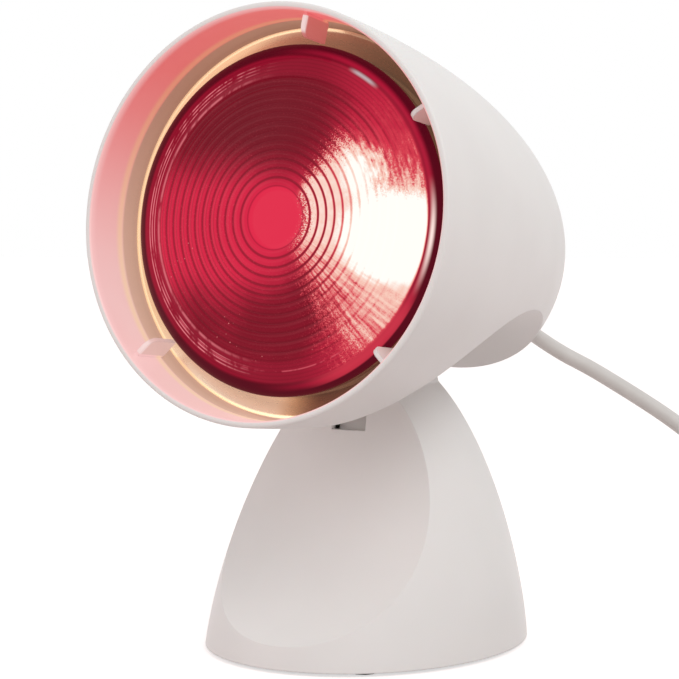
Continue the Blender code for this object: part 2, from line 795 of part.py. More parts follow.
def make_heat_shield():
    """A cup that keeps one air gap to the bulb and flares at its mouth, behind the bulb's edge."""
    mouth = -(BULB_SEAT + SHIELD_SETBACK)
    path = [(SHIELD_MOUTH_RADIUS, mouth)]
    throat = bulb_radius(SHIELD_SETBACK + SHIELD_MOUTH_RUN) + SHIELD_AIR
    path.append((throat, mouth - SHIELD_MOUTH_RUN))
    for share in BULB_DEPTH_SHARES[2:]:
        depth = share * BULB_BODY_DEPTH
        path.append((bulb_radius(depth) + SHIELD_AIR, -BULB_SEAT - depth))
    tail = -(HOLDER_MOUTH - GAP)
    path.append((BULB_NECK_RADIUS + SHIELD_AIR, tail + SHIELD_TAIL_RUN))
    path.append((SHIELD_TAIL_RADIUS, tail))
    outer = [(radius + SHIELD_METAL, height) for radius, height in path]
    turned(
        "heat_shield", outer + path[::-1], BULB_STEPS, head_axis, BRIGHT_CUP, closed=True
    )


def make_holder(cap_end):
    mouth, back = -HOLDER_MOUTH, -HOLDER_BACK
    floor = back + HOLDER_FLOOR
    profile = [
        (0, floor),
        (HOLDER_BORE_RADIUS, floor),
        (HOLDER_BORE_RADIUS, mouth),
        (HOLDER_RADIUS, mouth),
        (HOLDER_RADIUS, back),
        (0, back),
    ]
    body = turned("lamp_holder", profile, MEDIUM_STEPS, head_axis, CERAMIC)
    sleeve_outer = HOLDER_BORE_RADIUS - GAP
    sleeve_front = mouth - GAP
    ring(
        "holder_sleeve",
        sleeve_outer - SLEEVE_METAL,
        sleeve_outer,
        sleeve_front - SLEEVE_LENGTH,
        sleeve_front,
        MEDIUM_STEPS,
        head_axis,
        BRASS,
    )
    top = cap_end - GAP
    low = floor + GAP
    profile = [(0, top), (TONGUE_RADIUS / 2, top), (TONGUE_RADIUS, top - TONGUE_THICKNESS)]
    profile += [(TONGUE_RADIUS, low), (0, low)]
    turned("holder_contact", profile, SMALL_STEPS, head_axis, BRASS)
    strap_front = back - GAP
    strap_middle = strap_front - STRAP_THICKNESS / 2
    outline = [
        (-STRAP_REACH, -STRAP_WIDTH / 2),
        (STRAP_REACH, -STRAP_WIDTH / 2),
        (STRAP_REACH, STRAP_WIDTH / 2),
        (-STRAP_REACH, STRAP_WIDTH / 2),
    ]
    holes = [circle(0, 0, STRAP_HOLE_RADIUS, SMALL_STEPS)]
    for side in (-1, 1):
        holes.append(circle(side * BOSS_OFFSET, 0, SCREW_RADIUS + GAP, SMALL_STEPS))
        holes.append(circle(side * HOLDER_SCREW_OFFSET, 0, SCREW_RADIUS + GAP, SMALL_STEPS))
    plate(
        "holder_strap",
        [outline] + holes,
        STRAP_THICKNESS,
        head_axis,
        STEEL,
        (0, 0, strap_middle),
    )
    strap_screws = []
    holder_screws = []
    for side in (-1, 1):
        strap_screws.append(
            small_screw(
                f"strap_screw_{side}",
                BRACKET_SCREW_LENGTH,
                head_axis,
                (side * BOSS_OFFSET, 0, strap_front + GAP),
                FLAT,
            )
        )
        depth = strap_front - STRAP_THICKNESS - GAP
        length = STRAP_THICKNESS + HOLDER_FLOOR / 2
        holder_screws.append(
            small_screw(
                f"holder_screw_{side}",
                length,
                head_axis,
                (side * HOLDER_SCREW_OFFSET, 0, depth),
                DOWNWARD,
            )
        )
        cut(
            body,
            rod(
                f"holder_hole_{side}",
                SCREW_RADIUS + GAP,
                2 * length,
                SMALL_STEPS,
                head_axis,
                None,
                (side * HOLDER_SCREW_OFFSET, 0, depth),
            ),
        )
    numbered("strap_screw", strap_screws)
    numbered("holder_screw", holder_screws)
    return strap_front - STRAP_THICKNESS


def arm_screw_length():
    """From the foot's underside up to the inner face of the belly's wall."""
    back = arm_foot_middle() - LARGE_SCREW_RADIUS + RIM_REACH
    across = ARM_SCREW_ACROSS - LARGE_SCREW_RADIUS
    height = ARM_FOOT_UNDERSIDE
    for _ in range(SPLINE_STEPS):
        drop = RIM_HEIGHT - height
        depth = back * cos(SHADE_TILT) + drop * sin(SHADE_TILT)
        room = bulb_radius(depth - BULB_SEAT) + BELLY_AIR
        below = sqrt(room ** 2 - across ** 2)
        height = RIM_HEIGHT - depth * sin(SHADE_TILT) - below * cos(SHADE_TILT)
    return height - ARM_FOOT_UNDERSIDE


def arm_screw_hole(name, side):
    place_ = Vector((side * ARM_SCREW_ACROSS, arm_foot_middle(), ARM_FOOT_UNDERSIDE)) - PIVOT
    radius = LARGE_SCREW_RADIUS + GAP
    return rod(name, radius, 4 * arm_screw_length(), SMALL_STEPS, tilt_axis, None, place_)


def arm_foot_middle():
    return PIVOT_BACK + GAP


def arm_outline():
    """Disc about the pivot with a neck that rises out of it, seen from the side."""
    half = ARM_NECK_WIDTH / 2
    start = atan2(sqrt(ARM_DISC_RADIUS ** 2 - half ** 2), half)
    sweep = 2 * pi - (pi - 2 * start)
    points = []
    for i in range(MEDIUM_STEPS + 1):
        angle = pi - start + sweep * i / MEDIUM_STEPS
        points.append((ARM_DISC_RADIUS * cos(angle), ARM_DISC_RADIUS * sin(angle)))
    top = RIM_HEIGHT - PIVOT_HEIGHT - BULB_NECK_RADIUS
    points += [(half, top), (-half, top)]
    return points


def make_arm():
    arm = plate(
        "tilt_arm", [arm_outline()], ARM_THICKNESS, tilt_axis, WHITE, FLAT, UPRIGHT_ACROSS_X
    )
    foot_back = arm_foot_middle() + ARM_FOOT_DEPTH / 2
    foot_front = arm_foot_middle() - ARM_FOOT_DEPTH / 2
    ahead = SCOOP_BACK - foot_front
    foot_top = SCOOP_HEIGHT + sqrt(SCOOP_RADIUS ** 2 - ahead ** 2) - GAP
    foot = block(
        "arm_foot",
        Vector((-ARM_FOOT_WIDTH / 2, foot_front, ARM_FOOT_UNDERSIDE)) - PIVOT,
        Vector((ARM_FOOT_WIDTH / 2, foot_back, foot_top)) - PIVOT,
        tilt_axis,
        None,
    )
    add(arm, foot)
    cut(arm, belly_solid("belly_seat", BELLY_AIR + SHADE_WALL + GAP))
    cut(
        arm,
        rod(
            "pin_bore",
            PIN_RADIUS + GAP,
            2 * ARM_THICKNESS,
            SMALL_STEPS,
            tilt_axis,
            None,
            FLAT,
            ALONG_X,
        ),
    )
    for number in range(DETENT_COUNT):
        angle = -pi / 2 + (number + DETENT_FIRST) * DETENT_STEP
        place_ = (0, ARM_DISC_RADIUS * cos(angle), ARM_DISC_RADIUS * sin(angle))
        notch = rod(
            f"notch_{number}",
            DETENT_NOTCH_RADIUS,
            2 * ARM_THICKNESS,
            SMALL_STEPS,
            tilt_axis,
            None,
            place_,
            ALONG_X,
        )
        cut(arm, notch)
    screws = []
    for side in (-1, 1):
        cut(arm, arm_screw_hole(f"foot_screw_hole_{side}", side))
        place_ = Vector((side * ARM_SCREW_ACROSS, arm_foot_middle(), ARM_FOOT_UNDERSIDE - GAP))
        screws.append(
            large_screw(
                f"arm_screw_{side}", arm_screw_length(), tilt_axis, place_ - PIVOT, DOWNWARD
            )
        )
    numbered("arm_screw", screws)


def dome_profile(radius, peak, top, low):
    """Half outline of the dome from the middle of its top, out and down to its foot."""

    def width(height):
        return radius * (1 - (max(height, 0) / peak) ** BASE_SWELL) ** BASE_CLOSING

    shoulder = top - BASE_TOP_ROUND
    points = [(0, top), (width(shoulder) - BASE_TOP_ROUND, top)]
    points.append((width(shoulder) - BASE_TOP_ROUND / 3, (top + shoulder) / 2))
    for i in range(BASE_RINGS + 1):
        height = shoulder + (low - shoulder) * i / BASE_RINGS
        points.append((width(height), height))
    points.append((0, low))
    return points


def dome_solid(name, inset, low, look):
    """The oval dome, leaning back, drawn in by an inset on every side."""
    radius = BASE_HALF_DEPTH - inset
    profile = dome_profile(radius, BASE_PEAK - inset, BASE_TOP - inset, low)
    made = baked(turned(name, profile, FINE_STEPS, lamp, look))
    squash = (BASE_HALF_WIDTH - inset) / radius
    shape = Matrix.Identity(4)
    shape[0][0] = squash
    shape[1][2] = BASE_LEAN
    made.data.transform(shape)
    smooth(made.data)
    front = rod(
        f"{name}_front",
        FRONT_HOLLOW_RADIUS + inset,
        4 * BASE_HALF_WIDTH,
        SCOOP_STEPS,
        lamp,
        None,
        (0, -FRONT_HOLLOW_REACH, FRONT_HOLLOW_HEIGHT),
        ALONG_X,
    )
    cut(made, front)
    return made


def cover_screw_places():
    return [
        (x * COVER_SCREW_ACROSS, y * COVER_SCREW_ALONG) for x in (-1, 1) for y in (-1, 1)
    ]


def make_base_shell():
    shell = dome_solid("base_shell", 0, BASE_UNDERSIDE, WHITE)
    room = dome_solid("base_room", BASE_WALL, -OVERRUN, None)
    pillar_low = COVER_TOP + GAP
    for number, (x, y) in enumerate(cover_screw_places()):
        middle = (pillar_low + BASE_PEAK) / 2
        height = BASE_PEAK - pillar_low
        cut(room, rod(f"pillar_{number}", PILLAR_RADIUS, height, SMALL_STEPS, lamp, None, (x, y, middle)))
    for side in (-1, 1):
        low = BRACKET_TOP + GAP
        place_ = (side * BRACKET_SCREW_ACROSS, PIVOT_BACK, (low + BASE_PEAK) / 2)
        cut(room, rod(f"hanger_{side}", PILLAR_RADIUS, BASE_PEAK - low, SMALL_STEPS, lamp, None, place_))
    cut(shell, room)
    slot = block(
        "arm_slot",
        (-SLOT_WIDTH / 2, -BASE_HALF_DEPTH, SLOT_SILL),
        (SLOT_WIDTH / 2, SLOT_BACK, BASE_PEAK + OVERRUN),
        lamp,
        None,
    )
    cut(shell, slot)
    for number, (x, y) in enumerate(cover_screw_places()):
        length = 2 * COVER_SCREW_LENGTH
        radius = SCREW_RADIUS + GAP
        place_ = (x, y, COVER_TOP)
        cut(shell, rod(f"pillar_hole_{number}", radius, length, SMALL_STEPS, lamp, None, place_))
    for side in (-1, 1):
        place_ = (side * BRACKET_SCREW_ACROSS, PIVOT_BACK, BRACKET_TOP)
        length = 2 * BRACKET_SCREW_LENGTH
        cut(shell, rod(f"hanger_hole_{side}", SCREW_RADIUS + GAP, length, SMALL_STEPS, lamp, None, place_))


def make_base_underside():
    middle = BASE_UNDERSIDE + COVER_THICKNESS / 2
    outline = ellipse(
        BASE_HALF_WIDTH - BASE_WALL - COVER_SLACK,
        BASE_HALF_DEPTH - BASE_WALL - COVER_SLACK,
        FINE_STEPS,
    )
    holes = [circle(x, y, SCREW_RADIUS + GAP, SMALL_STEPS) for x, y in cover_screw_places()]
    holes.append(circle(0, 0, LARGE_SCREW_RADIUS + GAP, SMALL_STEPS))
    cover = plate("bottom_cover", [outline] + holes, COVER_THICKNESS, lamp, LEAD_GREY, (0, 0, middle))
    screws = []
    for number, (x, y) in enumerate(cover_screw_places()):
        radius = SCREW_HEAD_RADIUS + GAP
        place_ = (x, y, BASE_UNDERSIDE)
        length = 2 * COUNTERBORE_DEPTH
        cut(cover, rod(f"counterbore_{number}", radius, length, SMALL_STEPS, lamp, None, place_))
        seat = (x, y, BASE_UNDERSIDE + COUNTERBORE_DEPTH - GAP)
        screws.append(small_screw(f"cover_screw_{number}", COVER_SCREW_LENGTH, lamp, seat, DOWNWARD))
    numbered("cover_screw", screws)
    feet = []
    for x in (-1, 1):
        for y in (-1, 1):
            place_ = (x * FOOT_ACROSS, y * FOOT_ALONG, FOOT_HEIGHT / 2)
            feet.append(rod(f"foot_{x}_{y}", FOOT_RADIUS, FOOT_HEIGHT, SMALL_STEPS, lamp, RUBBER, place_))
    numbered("rubber_foot", feet)


def make_ballast():
    low = COVER_TOP + GAP
    top = low + BALLAST_THICKNESS
    outline = ellipse(BALLAST_HALF_WIDTH, BALLAST_HALF_DEPTH, MEDIUM_STEPS)
    hole = circle(0, 0, LARGE_SCREW_RADIUS + GAP, SMALL_STEPS)
    middle = (0, 0, (low + top) / 2)
    plate("ballast_weight", [outline, hole], BALLAST_THICKNESS, lamp, IRON, middle)
    length = BALLAST_THICKNESS + COVER_THICKNESS
    large_screw("ballast_screw", length, lamp, (0, 0, top + GAP), FLAT)


def make_hinge():
    ear_inner = ARM_THICKNESS / 2 + WASHER_THICKNESS + 2 * GAP
    ear_outer = ear_inner + BRACKET_METAL
    ear_top = PIVOT_HEIGHT + BRACKET_EAR_ABOVE
    half = [
        (BRACKET_HALF_WIDTH, BRACKET_UNDERSIDE),
        (BRACKET_HALF_WIDTH, BRACKET_TOP),
        (ear_outer, BRACKET_TOP),
        (ear_outer, ear_top),
        (ear_inner, ear_top),
        (ear_inner, BRACKET_TOP),
    ]
    outline = half + [(-x, z) for x, z in half[::-1]]
    bracket = plate(
        "pivot_bracket", [outline], BRACKET_DEPTH, lamp, STEEL, (0, PIVOT_BACK, 0), UPRIGHT_ACROSS_Y
    )
    bore = rod(
        "bracket_bore", PIN_RADIUS + GAP, 4 * ear_outer, SMALL_STEPS, lamp, None, PIVOT, ALONG_X
    )
    cut(bracket, bore)
    screws = []
    for side in (-1, 1):
        place_ = (side * BRACKET_SCREW_ACROSS, PIVOT_BACK, BRACKET_UNDERSIDE)
        length = 4 * BRACKET_METAL
        cut(bracket, rod(f"bracket_hole_{side}", SCREW_RADIUS + GAP, length, SMALL_STEPS, lamp, None, place_))
        seat = (side * BRACKET_SCREW_ACROSS, PIVOT_BACK, BRACKET_UNDERSIDE - GAP)
        screws.append(
            small_screw(f"bracket_screw_{side}", BRACKET_SCREW_LENGTH, lamp, seat, DOWNWARD)
        )
    numbered("bracket_screw", screws)
    head = ear_outer + GAP
    tail = -(ear_outer + GAP + PIN_HEAD_LENGTH + 2 * GAP)
    profile = [
        (0, head + PIN_HEAD_LENGTH),
        (PIN_HEAD_RADIUS, head + PIN_HEAD_LENGTH),
        (PIN_HEAD_RADIUS, head),
        (PIN_RADIUS, head),
        (PIN_RADIUS, tail),
        (0, tail),
    ]
    turned("pivot_pin", profile, SMALL_STEPS, lamp, STEEL, PIVOT, ALONG_X)
    hexagon = ellipse(PIN_HEAD_RADIUS, PIN_HEAD_RADIUS, NUT_SIDES)
    hole = circle(0, 0, PIN_RADIUS + GAP, SMALL_STEPS)
    nut_place = PIVOT - Vector((ear_outer + GAP + PIN_HEAD_LENGTH / 2, 0, 0))
    plate("pivot_nut", [hexagon, hole], PIN_HEAD_LENGTH, lamp, STEEL, nut_place, ALONG_X)
    washers = []
    for turn in (ALONG_X, ALONG_MINUS_X):
        low = ARM_THICKNESS / 2 + GAP
        washers.append(
            ring(
                "washer",
                PIN_RADIUS + GAP,
                WASHER_RADIUS,
                low,
                low + WASHER_THICKNESS,
                SMALL_STEPS,
                lamp,
                STEEL,
                PIVOT,
                turn,
            )
        )
    numbered("pivot_washer", washers)


def make_leaf():
    """A strip of spring that rises from the bracket and presses into a notch of the disc."""
    crest = PIVOT_HEIGHT - ARM_DISC_RADIUS + DETENT_NOTCH_RADIUS - GAP
    foot = BRACKET_TOP + GAP + LEAF_THICKNESS
    notch = DETENT_NOTCH_RADIUS - GAP
    half = BRACKET_DEPTH / 2
    upper = [
        (half * along, foot + (crest - notch - foot) * rise)
        for along, rise in zip(LEAF_ALONG_SHARES, LEAF_RISE_SHARES)
    ]
    middle = [(-notch, crest - notch), (0, crest), (notch, crest - notch)]
    split = len([along for along in LEAF_ALONG_SHARES if along < 0])
    upper = upper[:split] + middle + upper[split:]
    lower = [(y, z - LEAF_THICKNESS) for y, z in upper]
    outline = upper + lower[::-1]
    plate("detent_leaf", [outline], LEAF_WIDTH, lamp, STEEL, (0, PIVOT_BACK, 0), UPRIGHT_ACROSS_X)


def exit_frame():
    """Where the lead leaves the shade's tail, on its surface, and which way it points."""
    share = CORD_EXIT_DEPTH / SHADE_LENGTH
    radius = SHADE_RADIUS * sqrt(1 - share ** SHADE_BLUNTNESS)
    back = Vector((0, cos(SHADE_TILT), -sin(SHADE_TILT)))
    down = Vector((0, -sin(SHADE_TILT), -cos(SHADE_TILT)))
    return RIM_CENTRE + back * CORD_EXIT_DEPTH + down * radius


def exit_direction():
    return Vector((0, cos(CORD_EXIT_DROOP), -sin(CORD_EXIT_DROOP)))


def make_strain_relief():
    tip = RELIEF_LENGTH
    profile = [
        (0, tip),
        (RELIEF_TIP_RADIUS, tip),
        (RELIEF_ROOT_RADIUS, RELIEF_COLLAR_LENGTH),
        (RELIEF_COLLAR_RADIUS, RELIEF_COLLAR_LENGTH),
        (RELIEF_COLLAR_RADIUS, -RELIEF_NECK_LENGTH),
        (0, -RELIEF_NECK_LENGTH),
    ]
    sleeve = turned("strain_relief", profile, MEDIUM_STEPS, exit_axis, LEAD_GREY)
    cut(sleeve, shade_solid("relief_seat", SHADE_RADIUS + GAP, SHADE_LENGTH + GAP))
    neck_length = RELIEF_NECK_LENGTH + RELIEF_COLLAR_LENGTH
    neck_middle = (RELIEF_COLLAR_LENGTH - RELIEF_NECK_LENGTH) / 2
    add(
        sleeve,
        rod(
            "relief_neck",
            RELIEF_NECK_RADIUS,
            neck_length,
            MEDIUM_STEPS,
            exit_axis,
            None,
            (0, 0, neck_middle),
        ),
    )
    bore_radius = CORD_RADIUS + GAP
    cut(
        sleeve,
        rod("relief_bore", bore_radius, 4 * RELIEF_LENGTH, SMALL_STEPS, exit_axis, None, FLAT),
    )
    stop_front = -RELIEF_NECK_LENGTH - GAP
    ring(
        "cord_stop",
        CORD_RADIUS + GAP,
        STOP_RADIUS,
        stop_front - STOP_LENGTH,
        stop_front,
        SMALL_STEPS,
        exit_axis,
        WHITE,
    )
    length = RELIEF_LENGTH + INNER_CABLE_END
    middle = (RELIEF_LENGTH - INNER_CABLE_END) / 2
    rod("inner_cable", CORD_RADIUS, length, SMALL_STEPS, exit_axis, LEAD_GREY, (0, 0, middle))


def curve_through(points, segment):
    """Even points along a smooth curve through hand-chosen ones."""
    points = [Vector(p) for p in points]
    ghosts = [2 * points[0] - points[1]] + points + [2 * points[-1] - points[-2]]
    fine = []
    for a, b, c, d in zip(ghosts, ghosts[1:], ghosts[2:], ghosts[3:]):
        for i in range(SPLINE_STEPS):
            t = i / SPLINE_STEPS
            doubled = 2 * b + (c - a) * t
            doubled += (2 * a - 5 * b + 4 * c - d) * t ** 2
            doubled += (3 * b - a - 3 * c + d) * t ** 3
            fine.append(doubled / 2)
    fine.append(points[-1])
    total = sum((q - p).length for p, q in zip(fine, fine[1:]))
    count = ceil(total / segment)
    spaced = [fine[0]]
    run = 0
    for p, q in zip(fine, fine[1:]):
        run += (q - p).length
        if run >= total / count * len(spaced) and len(spaced) < count:
            spaced.append(q)
    spaced.append(fine[-1])
    return spaced, total


def make_wires(strap_back):
    """Live and neutral cores from the cable's inner end to the back of the holder."""
    to_head = head_axis.matrix_world.inverted() @ exit_axis.matrix_world
    for name, side, look in (("live_wire", 1, LIVE_BROWN), ("neutral_wire", -1, NEUTRAL_BLUE)):
        across = side * CORD_RADIUS / 2
        start = to_head @ Vector((across, 0, -INNER_CABLE_END - GAP))
        away = to_head @ Vector((across, 0, -INNER_CABLE_END - GAP - CORE_RADIUS))
        end = Vector((side * STRAP_HOLE_RADIUS / 2, 0, strap_back + STRAP_THICKNESS / 2))
        near = end - Vector((0, 0, STRAP_THICKNESS))
        points, _ = curve_through([away, near], 2 * CORE_RADIUS)
        tube(name, [start] + points + [end], CORE_RADIUS, head_axis, look, 1)


def switch_outline(inset):
    """Rounded oblong of the switch, seen from above."""
    half_width = SWITCH_WIDTH / 2 - inset
    half_length = SWITCH_LENGTH / 2 - inset
    corner = SWITCH_CORNER - inset
    points = []
    for quarter, (side, end) in enumerate(((1, 1), (-1, 1), (-1, -1), (1, -1))):
        for i in range(CORNER_POINTS + 1):
            angle = pi / 2 * (quarter + i / CORNER_POINTS)
            across = side * (half_width - corner) + corner * cos(angle)
            along = end * (half_length - corner) + corner * sin(angle)
            points.append((across, along))
    return points


def switch_slab(name, inset, low, high, look):
    place_ = (SWITCH_X, SWITCH_Y, (low + high) / 2)
    return plate(name, [switch_outline(inset)], high - low, lamp, look, place_)


def switch_hub(name, side, radius):
    place_ = (SWITCH_X, SWITCH_Y + side * SWITCH_SCREW_ALONG, 0)
    return rod(name, radius, 3 * SWITCH_HEIGHT, SMALL_STEPS, lamp, None, place_)


def make_switch():
    seam = SWITCH_AXIS
    lower = switch_slab("switch_bottom", 0, 0, seam - GAP / 2, WHITE)
    upper = switch_slab("switch_top", 0, seam + GAP / 2, SWITCH_HEIGHT, WHITE)
    lower_room = switch_slab("lower_room", SWITCH_WALL, SWITCH_WALL, seam + OVERRUN, None)
    upper_room = switch_slab(
        "upper_room", SWITCH_WALL, seam - OVERRUN, SWITCH_HEIGHT - SWITCH_WALL, None
    )
    axle_height = SWITCH_HEIGHT - ROCKER_DROP
    screws = []
    for side in (-1, 1):
        cut(lower_room, switch_hub(f"lower_hub_{side}", side, SWITCH_HUB_RADIUS))
        cut(upper_room, switch_hub(f"upper_hub_{side}", side, SWITCH_HUB_RADIUS))
        cheek = block(
            f"cheek_{side}",
            (-CHEEK_THICKNESS / 2, -CHEEK_HALF_LENGTH, -(SWITCH_HEIGHT - CHEEK_LOW) / 2),
            (CHEEK_THICKNESS / 2, CHEEK_HALF_LENGTH, (SWITCH_HEIGHT - CHEEK_LOW) / 2),
            lamp,
            None,
        )
        cheek.location = (
            SWITCH_X + side * (CHEEK_INNER + CHEEK_THICKNESS / 2),
            SWITCH_Y,
            (CHEEK_LOW + SWITCH_HEIGHT) / 2,
        )
        cut(upper_room, cheek)
    cut(lower, lower_room)
    cut(upper, upper_room)
    axle_place = (SWITCH_X, SWITCH_Y, axle_height)
    half_window = ROCKER_WIDTH / 2 + WINDOW_SLACK
    half_run = ROCKER_HALF_LENGTH + WINDOW_END_SLACK
    window = block(
        "rocker_window",
        (SWITCH_X - half_window, SWITCH_Y - half_run, axle_height),
        (SWITCH_X + half_window, SWITCH_Y + half_run, SWITCH_HEIGHT + OVERRUN),
        lamp,
        None,
    )
    cut(upper, window)
    axle_length = 2 * (CHEEK_INNER + CHEEK_THICKNESS) - 2 * GAP
    bore = rod(
        "axle_bore",
        AXLE_RADIUS + GAP,
        2 * (CHEEK_INNER + CHEEK_THICKNESS) + GAP,
        SMALL_STEPS,
        lamp,
        None,
        axle_place,
        ALONG_X,
    )
    cut(upper, bore)
    rod("rocker_axle", AXLE_RADIUS, axle_length, SMALL_STEPS, lamp, STEEL, axle_place, ALONG_X)
    make_rocker(axle_place)
    counterbore = SCREW_HEAD_HEIGHT + GAP
    for side in (-1, 1):
        place_ = (SWITCH_X, SWITCH_Y + side * SWITCH_SCREW_ALONG, 0)
        head_room = rod(
            f"switch_head_room_{side}",
            SCREW_HEAD_RADIUS + GAP,
            2 * counterbore,
            SMALL_STEPS,
            lamp,
            None,
            place_,
        )
        cut(lower, head_room)
        reach = 2 * (SWITCH_SCREW_LENGTH + counterbore) + OVERRUN / 2
        for case, name in ((lower, "lower"), (upper, "upper")):
            hole = rod(
                f"{name}_screw_hole_{side}",
                SCREW_RADIUS + GAP,
                reach,
                SMALL_STEPS,
                lamp,
                None,
                place_,
            )
            cut(case, hole)
        seat = (SWITCH_X, SWITCH_Y + side * SWITCH_SCREW_ALONG, SCREW_HEAD_HEIGHT)
        screws.append(
            small_screw(f"switch_screw_{side}", SWITCH_SCREW_LENGTH, lamp, seat, DOWNWARD)
        )
    numbered("switch_screw", screws)
    terminals = []
    for side in (-1, 1):
        low = SWITCH_WALL + GAP
        along = SWITCH_Y + side * TERMINAL_ALONG
        terminals.append(
            block(
                f"terminal_{side}",
                (SWITCH_X - TERMINAL_SIZE, along - TERMINAL_SIZE, low),
                (SWITCH_X + TERMINAL_SIZE, along + TERMINAL_SIZE, low + TERMINAL_HEIGHT),
                lamp,
                BRASS,
            )
        )
    numbered("switch_terminal", terminals)


def make_rocker(axle_place):
    """The rocker, drawn level and then laid over to its off side about its own axle."""
    level = [
        (-ROCKER_HALF_LENGTH, ROCKER_END_HEIGHT),
        (-ROCKER_HALF_LENGTH, -ROCKER_KEEL / 2),
        (-ROCKER_HALF_LENGTH / 2, -ROCKER_KEEL),
        (ROCKER_HALF_LENGTH / 2, -ROCKER_KEEL),
        (ROCKER_HALF_LENGTH, -ROCKER_KEEL / 2),
        (ROCKER_HALF_LENGTH, ROCKER_END_HEIGHT),
        (0, ROCKER_MIDDLE_HEIGHT),
    ]
    turn = ROCKER_ANGLE
    outline = [
        (y * cos(turn) - z * sin(turn), y * sin(turn) + z * cos(turn)) for y, z in level
    ]
    hole = circle(0, 0, AXLE_RADIUS + GAP, SMALL_STEPS)
    plate(
        "switch_rocker",
        [outline, hole],
        ROCKER_WIDTH,
        lamp,
        WHITE,
        axle_place,
        UPRIGHT_ACROSS_X,
    )


def straight_ended(start, start_way, end, end_way, middle, segment):
    """Points of a cord that leaves and arrives straight for one diameter."""
    first = start + start_way * 2 * CORD_RADIUS
    last = end - end_way * 2 * CORD_RADIUS
    points, length = curve_through([first] + middle + [last], segment)
    return [start] + points + [end], length + 4 * CORD_RADIUS


def make_mains_cord():
    """The lead from the strain relief through the air to the in-line switch."""
    start = lamp.matrix_world.inverted() @ (
        exit_axis.matrix_world @ Vector((0, 0, RELIEF_LENGTH + GAP))
    )
    inlet = Vector((SWITCH_X, SWITCH_Y + SWITCH_LENGTH / 2 + GAP, SWITCH_AXIS))
    points, length = straight_ended(
        start,
        exit_direction(),
        inlet,
        Vector((0, -1, 0)),
        [Vector(place_) for place_ in CORD_ROUTE],
        CORD_SEGMENT,
    )
    tube("mains_cord", points, CORD_RADIUS, lamp, LEAD_GREY, 2)
    return length


def coil_points():
    """Two flat layers: in along the floor, up over half a turn, and out again on top."""
    rate = COIL_SPACING / (2 * pi)
    centre = Vector((SWITCH_X + COIL_OUTER_RADIUS, COIL_START_Y, CORD_RADIUS))
    sweep_in = 2 * pi * COIL_TURNS_IN
    sweep_out = 2 * pi * COIL_TURNS_OUT + COIL_LEAVING_ANGLE
    sweep = sweep_in + pi + sweep_out
    count = ceil(sweep / (2 * pi) * COIL_POINTS_A_LOOP)
    inner = COIL_OUTER_RADIUS - rate * sweep_in
    points = []
    for i in range(count + 1):
        run = sweep * i / count
        if run < sweep_in:
            radius, rise = COIL_OUTER_RADIUS - rate * run, 0
        elif run < sweep_in + pi:
            x = run - sweep_in
            radius, rise = inner - rate * x + rate * x * x / pi, (1 - cos(x)) / 2
        else:
            radius, rise = inner + rate * (run - sweep_in - pi), 1
        angle = pi + run
        points.append(
            centre + Vector((radius * cos(angle), radius * sin(angle), COIL_LAYER * rise))
        )
    last = pi + sweep
    points.insert(0, points[0] + Vector((0, 2 * CORD_RADIUS, 0)))
    points.append(points[-1] + Vector((-sin(last), cos(last), 0)) * 2 * CORD_RADIUS)
    return points


def least_gap(points):
    """Least air between strands of a coil that lie more than half a loop apart."""
    least = COIL_OUTER_RADIUS
    skip = COIL_POINTS_A_LOOP // 2
    for i, a in enumerate(points):
        for b, c in zip(points[i + skip:], points[i + skip + 1:]):
            along = c - b
            share = max(0, min(1, (a - b).dot(along) / along.length_squared))
            least = min(least, (a - b - along * share).length - 2 * CORD_RADIUS)
    return least


def run_length(points):
    return sum((b - a).length for a, b in zip(points, points[1:]))


def make_coil():
    """The cord from the switch, its coil, and the cord from the coil to the plug."""
    points = coil_points()
    first = points[0] + Vector((0, GAP, 0))
    outlet = Vector((SWITCH_X, SWITCH_Y - SWITCH_LENGTH / 2 - GAP, SWITCH_AXIS))
    back = Vector((0, -1, 0))
    middle = (outlet + first) / 2
    tail, _ = straight_ended(outlet, back, first, back, [middle], CORD_RADIUS * 2)
    tube("switch_cord", tail, CORD_RADIUS, lamp, LEAD_GREY, 2)
    tube("cord_coil", points, CORD_RADIUS, lamp, LEAD_GREY, 1)
    print("least gap of the coil to itself:", round(least_gap(points) * 1000, 3), "mm")
    way = (points[-1] - points[-2]).normalized()
    start = points[-1] + way * GAP
    end = start + way * PLUG_LEAD_RUN
    end.z = PLUG_RADIUS
    way_flat = Vector((way.x, way.y, 0)).normalized()
    lead, _ = straight_ended(start, way, end, way_flat, [(start + end) / 2], CORD_RADIUS * 2)
    tube("plug_cord", lead, CORD_RADIUS, lamp, LEAD_GREY, 2)
    make_plug(end + way_flat * GAP, way_flat)
    return run_length(tail) + run_length(points) + run_length(lead)


